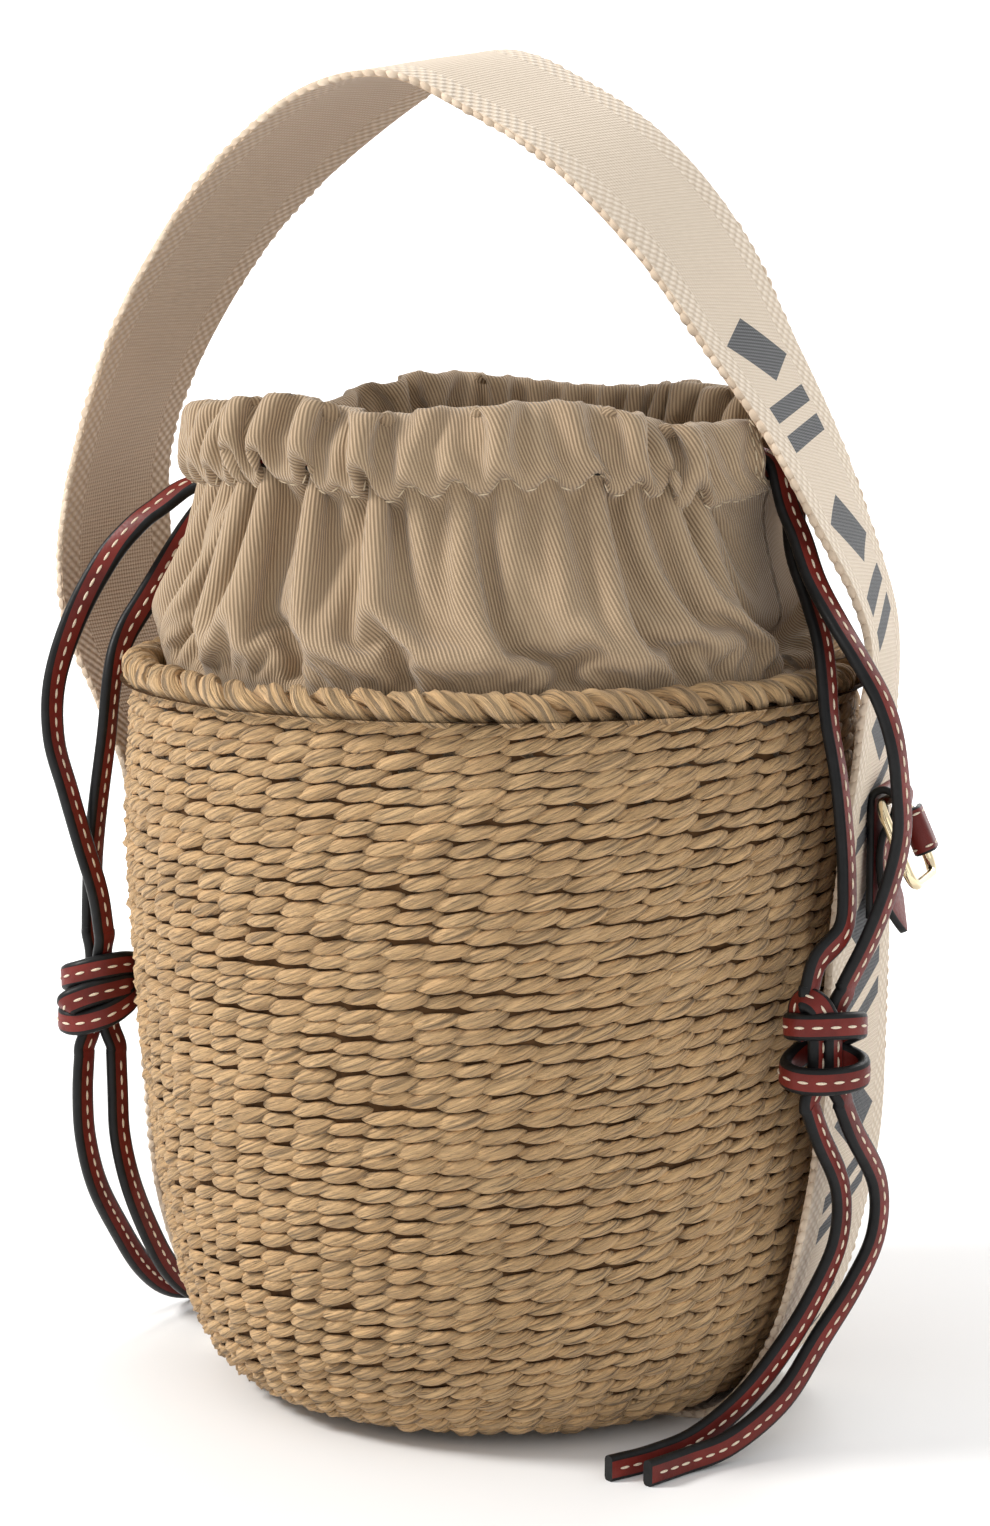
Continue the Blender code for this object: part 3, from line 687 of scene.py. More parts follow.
def make_knot(name, materials):
    """An overhand knot of the doubled lace: a wrap that winds twice round, a bight and a short core."""
    centre, body = KNOTS[name]
    centre = np.array(centre)
    front = np.array([math.cos(KNOT_FRONT), math.sin(KNOT_FRONT), 0.0])
    side = np.cross(UP, front)
    shape = Shape()

    def lay(path, face):
        out = swept_strip(shape, path, face, LACE_WIDTH, LACE_THICKNESS)
        stitch_row(shape, path, out, *LACE_STITCH, THREAD, LACE_THICKNESS / 2)

    for wrap in KNOT_WRAPS[name]:
        rows = catmull_rom(wrap, 8)
        angle = np.radians(rows[:, 0])
        reach = rows[:, 1:3] / 1000
        path = (centre + front * (reach[:, 0] * np.cos(angle))[:, None]
                + side * (reach[:, 1] * np.sin(angle))[:, None] + UP * (rows[:, 3] / 1000)[:, None])
        lay(path, front * np.cos(angle)[:, None] + side * np.sin(angle)[:, None])
    bight = catmull_rom(KNOT_BIGHTS[name], 8) / 1000
    path = centre + front * bight[:, :1] + side * bight[:, 1:2] + UP * bight[:, 2:]
    lay(path, unit(path - centre - UP * 0.002 + front * 0.004))
    which = name.removeprefix("knot_")
    for above, below in (("front", "back"), ("back", "front")):
        top = np.array(LACE_ROUTES[f"cord_{which}_{above}"][-1])
        bottom = np.array(LACE_ROUTES[f"tail_{which}_{below}"][0])
        core = [top + UP * 0.0015, top - UP * 0.0010, (top + centre) / 2, (bottom + centre) / 2,
                bottom + UP * 0.0010, bottom - UP * 0.0015]
        lay(catmull_rom(core, 6), (1.0, -0.15, 0.15))
    knot = shape.piece(name + "_wraps", materials, 50)
    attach(knot, body)
    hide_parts(name)
    return knot


def make_laces(leather, paint, thread):
    """The knots, the laces that leave the hem and end below the knots, and the two inside the hem."""
    materials = [leather, paint, thread]
    knots = {name: make_knot(name, materials) for name in KNOTS}
    outward, forward = (1.0, -0.15, 0.15), (0.85, -0.50, 0.0)
    for side in ("left", "right"):
        body = side + "_drawstring"
        for depth in ("front", "back"):
            start = (0.35, -0.2 if depth == "front" else 0.2, 1.0)
            make_lace(f"cord_{side}_{depth}", materials, body, (start, outward))
            make_lace(f"tail_{side}_{depth}", materials, body, (outward, forward))
    for side, radius in HEM_LACE_RADII.items():
        turn = math.pi if side == "left" else 0.0
        angles = np.radians(np.linspace(HEM_LACE_GAP, 360 - HEM_LACE_GAP, 170)) + turn
        height = HEM_LACE_HEIGHT - casing_sag(angles)
        ring = np.stack([radius * np.cos(angles), radius * np.sin(angles), height], axis=1)
        shape = Shape()
        swept_strip(shape, ring, ring * (1, 1, 0), HEM_LACE_WIDTH, LACE_THICKNESS)
        inner = shape.piece(f"lace_inside_hem_{side}", materials, 50)
        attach(inner, "basket")
        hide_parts("lace_in_casing_" + side)


# ---------------------------------------------------------------- the woven basket

WALL_OUTLINE = [  # the outer face, as (radius, height)
    (0.0620, 0.0022), (0.0700, 0.0036), (0.0785, 0.0105), (0.0855, 0.0250), (0.0905, 0.0450),
    (0.0955, 0.0800), (0.0985, 0.1150), (0.1000, 0.1450), (0.0994, 0.1750), (0.0975, 0.1915),
    (0.0973, 0.1928),
]
STITCHES_ROUND = 60
COURSE_PITCH = 0.00427
FINE_COURSES = 9  # from the foot up, with slightly thinner stitches
STITCH_BULGE = 0.0033  # how far a stitch stands out of the wall's backing
LEAF_STEPS, LEAF_SIDES = 13, 12


def leaf(count, rng, length, half_width, bulge, slope):
    """Many stitches at once: each is a pointed pod that slants up to the right and dives in at its ends.

    Returns along, up and out for (stitch, step, side), with the strand's own coordinates.
    """
    s = np.linspace(0, 1, LEAF_STEPS)[None, :, None]
    a = (np.arange(LEAF_SIDES) * math.tau / LEAF_SIDES)[None, None, :]

    def vary(amount):
        return 1 + amount * rng.uniform(-1, 1, (count, 1, 1))

    swell = np.sin(math.pi * s)
    skew = np.sin(math.pi * s ** rng.uniform(0.85, 1.2, (count, 1, 1)))
    width = half_width * vary(0.17) * np.maximum(skew, 0) ** 0.56 + 0.00012
    thick = 0.50 * bulge * vary(0.15) * swell ** 0.42 + 0.00010
    middle = slope * vary(0.3) * -np.cos(math.pi * s) + 0.00025 * rng.uniform(-1, 1, (count, 1, 1))
    rise = bulge * (0.64 * vary(0.18) * swell ** 0.70 - 0.26)
    tilt = rng.uniform(-0.35, 0.35, (count, 1, 1))
    sine = np.sign(np.sin(a)) * np.abs(np.sin(a)) ** 0.7
    out = rise + thick * np.where(sine > 0, sine, 0.5 * sine) + tilt * width * np.cos(a) * 0.6
    twist = s * rng.uniform(3.5, 6.5, (count, 1, 1)) + rng.uniform(0, math.tau, (count, 1, 1))
    folds = 0.6 - 1.8 * np.abs(np.sin(a * 1.5 + 0.5 * twist)) + 0.6 * np.sin(a * 5 + 1.4 * twist)
    out = out + 0.10 * bulge * folds * np.maximum(sine, 0) * swell * vary(0.6)
    up = middle + width * np.cos(a)
    along = (s - 0.5) * length * vary(0.09) + width * np.cos(a) * 0.45
    # the share after the strand's number is how far out the point stands, which the raffia turns into painted
    # shade
    strand = np.floor(rng.uniform(0, 50, (count, 1, 1))) + np.clip(1.3 * out / bulge + 0.2, 0, 0.95)
    twisted = width * np.cos(a) - 0.28 * along - 0.0022 * (2 * s - 1) ** 3
    field = np.stack([along, twisted, strand], axis=-1)
    return along, np.broadcast_to(up, along.shape), out, field


def leaf_faces(count):
    """The faces of that many stitches, each a closed pod."""
    one = tube_faces(LEAF_STEPS, LEAF_SIDES)
    per = LEAF_STEPS * LEAF_SIDES
    return [tuple(i + k * per for i in face) for k in range(count) for face in one]


class Profile:
    """A turned outline that can be read at any distance along it."""

    def __init__(self, outline, steps=12):
        self.line = catmull_rom(outline, steps)
        self.along = lengths_along(self.line)
        way = unit(np.gradient(self.line, axis=0))
        self.normal = np.stack([way[:, 1], -way[:, 0]], axis=1)

    def read(self, at):
        spot = [np.interp(at, self.along, self.line[:, k]) for k in (0, 1)]
        normal = [np.interp(at, self.along, self.normal[:, k]) for k in (0, 1)]
        return spot[0], spot[1], normal[0], normal[1]


def lay_course(shape, profile, at, count, shift, rng, length=1.58, half_width=0.0024, bulge=STITCH_BULGE,
               slope=0.00095, depth=0.0):
    """One round of stitches on a turned profile, at a distance along it."""
    radius, _, _, _ = profile.read(at)
    pitch = math.tau * radius / count
    along, up, out, field = leaf(count, rng, pitch * length, half_width, bulge, slope)
    turn = (np.arange(count) + shift + 0.10 * rng.uniform(-1, 1, count))[:, None, None] * math.tau / count
    waver = 0.0002 * waves(turn, rng, 3, 2, 9)
    r, z, normal_r, normal_z = profile.read(at + up + waver)
    angle = turn + along / np.maximum(radius, 0.004)
    out = out - bulge * 0.92 - depth
    r = r + normal_r * out
    z = z + normal_z * out
    points = np.stack([r * np.cos(angle), r * np.sin(angle), z], axis=-1)
    shape.add(points, leaf_faces(count), 0, field)


def make_wall(raffia, painted_shade_backing):
    """The wall's courses in four bands, over a dark backing that is painted shade for their gaps, with a few
    courses inside at the top.
    """
    rng = np.random.default_rng(SEED)
    profile = Profile(WALL_OUTLINE)
    courses = int(profile.along[-1] / COURSE_PITCH)
    pitch = profile.along[-1] / courses
    bands = 4
    edges = np.linspace(0, courses, bands + 1).astype(int)
    names = ("weave_foot", "weave_lower", "weave_upper", "weave_top")
    shift = 0.0
    for name, first, last in zip(names, edges[:-1], edges[1:], strict=True):
        shape = Shape()
        for course in range(first, last):
            at = (course + 0.5) * pitch
            fine = 0.90 if course < FINE_COURSES else 1.0
            lay_course(shape, profile, at, STITCHES_ROUND, shift, rng, half_width=0.5 * pitch * 0.96 * fine,
                       slope=0.16 * pitch)
            shift += 0.07 + 0.05 * rng.uniform(-1, 1)
        band = shape.piece(name, [raffia])
        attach(band, "basket")
        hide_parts("basket_wall")
    inside = Profile([(r - 0.0042, z) for r, z in WALL_OUTLINE[-4:]][::-1])
    shape = Shape()
    for course in range(6):
        lay_course(shape, inside, (course + 0.3) * pitch, STITCHES_ROUND, 0.4 + 0.07 * course, rng,
                   half_width=0.5 * pitch * 1.06, bulge=0.0018, slope=0.2 * pitch)
    inner = shape.piece("weave_inside_top", [raffia])
    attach(inner, "basket")
    # a dark shell behind the stitches: painted shade for the gaps between them
    shape = Shape()
    deep, back = 0.0024, 0.0033
    steps = 96
    outline = []
    for inward in (deep, back):
        line = profile.line - profile.normal * inward
        outline.append(line[::4])
    ring = np.concatenate([outline[0], outline[1][::-1]])
    angles = np.arange(steps) * math.tau / steps
    points = [[(r * math.cos(a), r * math.sin(a), z) for r, z in ring] for a in angles]
    shape.add(points, [f[::-1] for f in grid_faces(steps, len(ring), True, True)])
    core = shape.piece("weave_backing_painted_shade", [painted_shade_backing])
    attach(core, "basket")


def make_base(raffia, painted_shade_backing):
    """The underside: rounds of stitches that shrink towards the middle."""
    rng = np.random.default_rng(SEED + 1)
    outline = [(0.0030, 0.0042), (0.0300, 0.0038), (0.0608, 0.0022)]
    profile = Profile(outline, 16)
    courses = 13
    pitch = profile.along[-1] / courses
    shape = Shape()
    for course in range(courses):
        at = (course + 0.5) * pitch
        radius, _, _, _ = profile.read(at)
        count = max(5, int(round(radius / profile.line[-1, 0] * STITCHES_ROUND / 5)) * 5)
        lay_course(shape, profile, at, count, 0.1 * course, rng, half_width=0.52 * pitch, bulge=0.0022,
                   slope=0.2 * pitch, depth=0.0002)
    base = shape.piece("weave_base", [raffia])
    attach(base, "basket")
    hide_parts("basket_base")
    shape = Shape()
    # a dark plate under the stitches: painted shade for the gaps between them
    steps = 64
    rings = [(0.0300, 0.0060), (0.0600, 0.0046), (0.0600, 0.0060), (0.0300, 0.0074)]
    turns = [math.tau * i / steps for i in range(steps)]
    points = [(r * math.cos(a), r * math.sin(a), z) for r, z in rings for a in turns]
    faces = grid_faces(len(rings), steps, close_columns=True)
    last = (len(rings) - 1) * steps
    faces.append(tuple(range(steps)))
    faces.append(tuple(last + i for i in range(steps))[::-1])
    shape.add(points, [f[::-1] for f in faces])
    plate = shape.piece("base_backing_painted_shade", [painted_shade_backing], 40)
    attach(plate, "basket")


RIM_RADIUS, RIM_HEIGHT = 0.0950, 0.1957
RIM_TURNS = 31  # of each strand round the others
RIM_STRANDS = 2


def make_rim(raffia):
    """The border: a rope of two strands of straw, laid round the top of the wall."""
    rng = np.random.default_rng(SEED + 2)
    shape = Shape()
    per_turn, sides = 22, 12
    n = RIM_TURNS * per_turn
    theta = np.arange(n) * math.tau / n
    a = np.arange(sides) * math.tau / sides
    for strand in range(RIM_STRANDS):
        lay = RIM_TURNS * theta + math.tau * strand / RIM_STRANDS + 0.25 * waves(theta, rng, 4, 5, 40)
        swing = 0.00215 * (1 + 0.08 * waves(theta, rng, 4, 20, 70))
        r = RIM_RADIUS + swing * np.cos(lay) * 1.12 + 0.00025 * waves(theta, rng, 4, 6, 30)
        z = RIM_HEIGHT - swing * np.sin(lay) * 0.95 + 0.00032 * waves(theta, rng, 4, 4, 24)
        wide = 0.0034 * (1 + 0.10 * waves(theta, rng, 5, 15, 90))
        flat = 0.0023 * (1 + 0.10 * waves(theta, rng, 5, 15, 90))
        folds = 1 + 0.09 * np.sin(3 * a[None] + 2.2 * waves(theta, rng, 4, 10, 60)[:, None])
        folds *= 1 + 0.05 * np.sin(5 * a[None] + 2.0 * waves(theta, rng, 4, 20, 90)[:, None])
        outward = flat[:, None] * np.cos(a)[None] * folds
        sideways = wide[:, None] * np.sin(a)[None] * folds
        rr = r[:, None] + outward * np.cos(lay)[:, None] + sideways * np.sin(lay)[:, None]
        zz = z[:, None] - outward * np.sin(lay)[:, None] + sideways * np.cos(lay)[:, None]
        points = np.stack([rr * np.cos(theta)[:, None], rr * np.sin(theta)[:, None], zz], axis=-1)
        field = np.stack([
            np.broadcast_to((theta * RIM_RADIUS)[:, None], rr.shape),
            np.broadcast_to((a * 0.0023)[None], rr.shape),
            # a share of .9 keeps the rope out of the raffia's painted shade
            np.full(rr.shape, 60.9 + 7 * strand),
        ], axis=-1)
        shape.add(points, grid_faces(n, sides, True, True), 0, field)
    rim = shape.piece("rim_rope", [raffia])
    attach(rim, "basket")
    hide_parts("rim_braid")


def make_lining(cloth):
    """The cloth that lines the basket, a little slack, and its round bottom."""
    profile = Profile(WALL_OUTLINE)
    first, last = 0.17, 0.965
    rows, columns = 60, 180
    theta = np.arange(columns) * math.tau / columns
    shape = Shape()
    points = []
    for i in range(rows):
        share = i / (rows - 1)
        r, z, nr, nz = profile.read((first + (last - first) * share) * profile.along[-1])
        calm = math.sin(math.pi * share)
        slack = 0.0007 * calm * waves(theta + 0.4 * share, np.random.default_rng(5), 7, 5, 26)
        inward = 0.0061 + 0.0006 * calm + slack
        points += [((r - nr * d) * math.cos(a), (r - nr * d) * math.sin(a), z - nz * d)
                   for a, d in zip(theta, inward, strict=True)]
    shape.add(points, grid_faces(rows, columns, close_columns=True))
    wall = shape.piece("lining", [cloth])
    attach(wall, "basket")
    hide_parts("lining_wall")
    shape = Shape()
    rings = 26
    radius = 0.0755
    points = [(0.0, 0.0, 0.0100)]
    for i in range(1, rings + 1):
        share = i / rings
        puff = 0.0004 * share * waves(theta, np.random.default_rng(9), 5, 3, 9) * math.sin(math.pi * share)
        lift = 0.0096 - 0.0012 * share + 0.0072 * max(0.0, (share - 0.82) / 0.18) ** 2
        points += [(radius * share * math.cos(a), radius * share * math.sin(a), lift + p)
                   for a, p in zip(theta, puff, strict=True)]
    faces = [(0, 1 + i, 1 + (i + 1) % columns) for i in range(columns)]
    faces += grid_faces(rings, columns, close_columns=True, start=1)
    shape.add(points, faces)
    bottom = shape.piece("lining_bottom", [cloth])
    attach(bottom, "basket")
    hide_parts("lining_base")


# ---------------------------------------------------------------- the drawstring pouch

CLOTH_COLUMNS = 440
CLOTH_ROUND = 0.745  # the cloth's length round, before it is gathered
CLOTH_STEP = 0.0015  # between its rows
SKIRT_ROWS = 51  # from inside the rim up to the casing's stitch line
CASING_ROWS = 17  # up to the fold, and as many down inside again
GATHER_HEIGHT = 0.2465  # of the stitch line
GATHER_RADIUS = 0.0782
SKIRT_FOOT = (0.0885, 0.1850)
CASING_GAP = math.radians(10.0)  # from the X axis to each end of the casing's two halves
CLOTH_STEPS = 130
SPEED_KEPT, DROP, FASTEST = 0.90, 0.000012, 0.0012  # for each step
PINNED_ROWS = 12  # held inside the rim
LACED_ROWS = (2, 9)  # of the casing, from its stitch line, that the laces keep apart
LACED_OUTER, LACED_INNER = 0.0822, 0.0739  # the least and greatest radius of its two layers there
SKIRT_RADIUS = 0.0892  # the greatest one inside the rim
RIM_TOP = 0.2015


def casing_sag(turn):
    """How much lower the casing hangs near its two ends."""
    return 0.0050 * np.abs(np.cos(turn)) ** 6


def gathered_turns(columns):
    """Where each column of the cloth stands round the bag at the stitch line, bunched unevenly."""
    theta = np.arange(columns) * math.tau / columns
    bunched = theta.copy()
    for times, size, phase in ((2, 0.10, 0.4), (4, 0.11, 4.96), (7, 0.08, 0.03), (11, 0.07, 1.0)):
        bunched += size / times * 2 * np.sin(times * theta + phase)
    return theta, bunched


def open_gap(turn):
    """Squeezes the casing's two halves away from the X axis, to leave the gaps for the laces."""
    half = np.floor(turn / math.pi)
    inside = turn - half * math.pi
    return half * math.pi + CASING_GAP + inside * (math.pi - 2 * CASING_GAP) / math.pi


def rest_cloth(rng):
    """The cloth before it settles: its rows' points, and which of them are casing."""
    rows = SKIRT_ROWS + 2 * CASING_ROWS
    theta, bunched = gathered_turns(CLOTH_COLUMNS)
    bunched_gap = open_gap(np.mod(bunched, math.tau)) + (bunched - np.mod(bunched, math.tau))
    points = np.zeros((rows, CLOTH_COLUMNS, 3))
    pleats = 0.6 * waves(theta, rng, 9, 38, 52) + 0.5 * waves(theta, rng, 6, 24, 36)
    shares = np.clip(np.arange(rows) / (SKIRT_ROWS - 1), 0, 1)[:, None]
    folds = waves(theta[None] + 0.30 * shares, rng, 7, 7, 15)
    heights = GATHER_HEIGHT + 0.0010 * waves(theta, rng, 4, 3, 7) - casing_sag(bunched)
    pleats = pleats / np.gradient(bunched, theta) ** 0.7
    for row in range(rows):
        if row < SKIRT_ROWS:
            share = row / (SKIRT_ROWS - 1)
            ease = share * share * (3 - 2 * share)
            turn = theta * (1 - ease) + bunched * ease
            hump = math.sin(math.pi * max(0.0, share - 0.2) / 0.8)
            r = SKIRT_FOOT[0] + (GATHER_RADIUS - SKIRT_FOOT[0]) * ease + 0.013 * hump
            r = r + 0.0055 * pleats * share ** 4 + 0.0100 * folds[row] * hump
            z = SKIRT_FOOT[1] + (heights - SKIRT_FOOT[1]) * share
        else:
            k = row - SKIRT_ROWS + 1
            outer = k <= CASING_ROWS
            up = k if outer else 2 * CASING_ROWS - k
            rise = up / CASING_ROWS
            turn = bunched + (bunched_gap - bunched) * min(1.0, rise * 3 + (0 if outer else 1))
            puff = math.sin(math.pi * rise)
            r = GATHER_RADIUS + (0.0045 * puff + 0.0055 * pleats if outer else -0.0085 * puff - 0.0022)
            r = r + (0 if outer else 0.0015 * pleats)
            z = heights + 0.0238 * rise
        points[row] = np.stack([r * np.cos(turn), r * np.sin(turn), np.broadcast_to(z, turn.shape)], axis=1)
    return points


class Springs:
    """Pairs of points at a set distance, moved towards it, in groups that share no point."""

    def __init__(self):
        self.groups = []

    def add(self, first, second, length, stiffness, only_push=False):
        self.groups.append((first, second, length, stiffness, only_push))

    def pull(self, p):
        for a, b, length, stiffness, only_push in self.groups:
            d = p[b] - p[a]
            far = np.sqrt((d * d).sum(1)) + 1e-12
            wrong = far - length
            if only_push:
                wrong = np.minimum(wrong, 0)
            move = d * (0.5 * stiffness * wrong / far)[:, None]
            p[a] += move
            p[b] -= move


def cloth_springs(rows, columns, step_round, kept):
    """Threads both ways, slanting ones against shear, and stiffness against sharp folds."""
    index = np.arange(rows * columns).reshape(rows, columns)
    springs = Springs()

    def link(a, b, length, stiffness, only_push=False):
        both = kept.ravel()[a.ravel()] & kept.ravel()[b.ravel()]
        springs.add(a.ravel()[both], b.ravel()[both], length, stiffness, only_push)

    after = np.roll(index, -1, axis=1)
    for parity in (0, 1):
        link(index[:, parity::2], after[:, parity::2], step_round, 1.0)
        link(index[parity:-1:2], index[parity + 1::2], CLOTH_STEP, 1.0)
    slant = math.hypot(step_round, CLOTH_STEP)
    for parity in (0, 1):
        link(index[parity:-1:2], after[parity + 1::2], slant, 0.30)
        link(after[parity:-1:2], index[parity + 1::2], slant, 0.30)
    for reach, stiffness in ((2, 0.55), (4, 0.22)):
        far = np.roll(index, -reach, axis=1)
        for start in range(2 * reach):
            link(index[:, start::2 * reach][:, :columns // (2 * reach)],
                 far[:, start::2 * reach][:, :columns // (2 * reach)],
                 step_round * reach * (0.93 if reach == 2 else 0.80), stiffness, True)
        for start in range(2 * reach):
            count = (rows - start - reach - 1) // (2 * reach) + 1
            if count > 0:
                a = index[start:start + 2 * reach * count:2 * reach][:count]
                b = index[start + reach:start + reach + 2 * reach * count:2 * reach][:len(a)]
                link(a[:len(b)], b, CLOTH_STEP * reach * (0.95 if reach == 2 else 0.86), stiffness, True)
    return springs


def settle_cloth(points, kept):
    """Lets the gathered cloth find its folds: threads keep their length, and it hangs, clear of the rim."""
    rows, columns, _ = points.shape
    springs = cloth_springs(rows, columns, CLOTH_ROUND / columns, kept)
    p = points.reshape(-1, 3).copy()
    speed = np.zeros_like(p)
    row = np.repeat(np.arange(rows), columns)
    pinned = row < PINNED_ROWS
    home = p.copy()
    stitched = row == SKIRT_ROWS - 1
    last = row == rows - 1
    line = np.flatnonzero(stitched)
    inner_line = np.flatnonzero(last)
    up = np.where(row < SKIRT_ROWS, 0, np.where(row < SKIRT_ROWS + CASING_ROWS, row - SKIRT_ROWS + 1,
                                                2 * CASING_ROWS - (row - SKIRT_ROWS + 1)))
    casing = row >= SKIRT_ROWS
    outer = casing & (row < SKIRT_ROWS + CASING_ROWS - 2)
    inner = row > SKIRT_ROWS + CASING_ROWS + 2
    laced = casing & (up >= LACED_ROWS[0]) & (up <= LACED_ROWS[1])
    turn_home = np.arctan2(home[:, 1], home[:, 0])
    roomy = 0.0985 - 0.0085 * np.abs(np.cos(turn_home)) ** 8
    for _ in range(CLOTH_STEPS):
        before = p.copy()
        speed *= SPEED_KEPT
        p += speed
        p[:, 2] -= np.where(casing, 0.0, DROP)
        for _ in range(5):
            springs.pull(p)
            p[pinned] = home[pinned]
            r = np.hypot(p[:, 0], p[:, 1]) + 1e-12
            low = np.where(outer & laced, LACED_OUTER, 0.0)
            high = np.where(inner & laced, LACED_INNER, roomy)
            inside_rim = (p[:, 2] < RIM_TOP) & (row < SKIRT_ROWS)
            high = np.where(inside_rim, np.minimum(high, SKIRT_RADIUS), high)
            wanted = np.clip(r, low, high)
            p[:, :2] *= (wanted / r)[:, None]
            middle = (p[line] + p[inner_line]) / 2
            p[line] += (middle - p[line]) * 0.4
            p[inner_line] += (middle - p[inner_line]) * 0.4
        # the laces hold the bunched casing where it was drawn to, and the stitch line at its height
        r = np.hypot(p[:, 0], p[:, 1])
        drawn = laced | stitched
        turned = np.arctan2(p[:, 1], p[:, 0])
        back = (turn_home - turned + math.pi) % math.tau - math.pi
        turned = turned + np.where(drawn, 0.08 * back, 0.0)
        r = r + np.where(stitched, 0.06 * (GATHER_RADIUS + 0.0005 - r), 0.0)
        p[:, 0], p[:, 1] = r * np.cos(turned), r * np.sin(turned)
        p[:, 2] += np.where(casing, 0.06 * (home[:, 2] - p[:, 2]), 0.0)
        speed = p - before
        fast = np.linalg.norm(speed, axis=1, keepdims=True)
        speed *= np.minimum(1, FASTEST / np.maximum(fast, 1e-9))
    return smoothed(p.reshape(rows, columns, 3), 1)


def smoothed(p, times):
    """The cloth without its smallest ripples; points at the casing's open ends stay where they are."""
    for _ in range(times):
        left, right = np.roll(p, 1, axis=1), np.roll(p, -1, axis=1)
        far = np.maximum(np.linalg.norm(left - p, axis=-1), np.linalg.norm(right - p, axis=-1))
        p = np.where((far < 0.006)[..., None], 0.5 * p + 0.25 * (left + right), p)
        p[1:-1] = 0.5 * p[1:-1] + 0.25 * (p[:-2] + p[2:])
    return p


def make_pouch(twill, thread):
    """The gathered cloth, from inside the rim up over the laces and down inside again."""
    rng = np.random.default_rng(SEED + 5)
    points = rest_cloth(rng)
    rows, columns, _ = points.shape
    kept = np.ones((rows, columns), bool)
    _, bunched = gathered_turns(columns)
    half = np.floor(bunched / math.pi)
    ends = [int(i) for i in np.flatnonzero(np.diff(half) > 0)] + [columns - 1]
    for end in ends:
        kept[SKIRT_ROWS + 1:, end] = False
    settled = settle_cloth(points, kept)
    shape = Shape()
    across = np.broadcast_to(np.arange(columns) * CLOTH_ROUND / columns, (rows, columns))
    up = np.broadcast_to((np.arange(rows) * CLOTH_STEP)[:, None], (rows, columns))
    field = np.stack([across, up, np.zeros((rows, columns))], axis=-1)
    faces = [f for f in grid_faces(rows, columns, close_columns=True) if kept.ravel()[list(f)].all()]
    shape.add(settled, faces, 0, field)
    pouch = shape.piece("pouch_cloth", [twill])
    remove_points(pouch.data, np.flatnonzero(~kept))
    thick = pouch.modifiers.new("thickness", "SOLIDIFY")
    thick.thickness = 0.0007
    thick.offset = 0.0
    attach(pouch, "basket")
    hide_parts("pouch_skirt", "casing_front", "casing_back")
    seams = make_casing_stitches(settled, kept, thread)


def remove_points(mesh, loose):
    """Takes the points with these numbers out of a mesh."""
    shape = bmesh.new()
    shape.from_mesh(mesh)
    shape.verts.ensure_lookup_table()
    bmesh.ops.delete(shape, geom=[shape.verts[i] for i in loose], context="VERTS")
    shape.to_mesh(mesh)
    shape.free()


def make_casing_stitches(settled, kept, thread):
    """The cream stitch line under the casing, and one up each of its ends."""
    shape = Shape()
    row = SKIRT_ROWS
    line = np.vstack([settled[row], settled[row][:1]])
    above = np.vstack([settled[row + 1], settled[row + 1][:1]])
    way = unit(np.gradient(line, axis=0))
    out = unit(np.cross(way, above - line))
    stitch_row(shape, line, out, *SEAM_STITCH, 0, SEAM_LIFT)
    _, columns, _ = settled.shape
    gone = np.flatnonzero(~kept[SKIRT_ROWS + 4])
    outside = slice(SKIRT_ROWS + 1, SKIRT_ROWS + CASING_ROWS + 1)
    for column in gone:
        for step in (-3, 3):
            c = (column + step) % columns
            up_line = settled[outside, c]
            beside = settled[outside, (c + 1) % columns]
            way = unit(np.gradient(up_line, axis=0))
            out = unit(np.cross(beside - up_line, way))
            stitch_row(shape, up_line, out, *SEAM_STITCH, 0, SEAM_LIFT)
    seams = shape.piece("casing_stitches", [thread])
    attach(seams, "basket")
    return seams


# ---------------------------------------------------------------- the webbing

WEB_NEAR, WEB_FAR = -0.0200, 0.0300  # Y of its front and back edges
WEB_HALF = (WEB_FAR - WEB_NEAR) / 2
WEB_THICKNESS = 0.0017
WEB_COLUMNS = 26
# Stations along the webbing: X of the front edge, X of the back edge, their two heights.
FOOT_STATIONS = [
    (0.0962, 0.0962, 0.0500, 0.0500), (0.0915, 0.0915, 0.0320, 0.0320), (0.0852, 0.0852, 0.0175, 0.0175),
    (0.0772, 0.0772, 0.0066, 0.0066), (0.0700, 0.0700, 0.0019, 0.0019), (0.0600, 0.0600, 0.0009, 0.0009),
]
RIGHT_SIDE_STATIONS = [
    (0.1070, 0.1015, 0.1600, 0.1600), (0.1040, 0.1015, 0.1300, 0.1300), (0.1022, 0.1012, 0.1000, 0.1000),
    (0.1000, 0.0998, 0.0720, 0.0720),
]
LEFT_SIDE_STATIONS = [
    (0.1035, 0.1028, 0.1600, 0.1600), (0.1019, 0.1019, 0.1300, 0.1300), (0.1004, 0.1004, 0.1000, 0.1000),
    (0.0984, 0.0984, 0.0720, 0.0720),
]
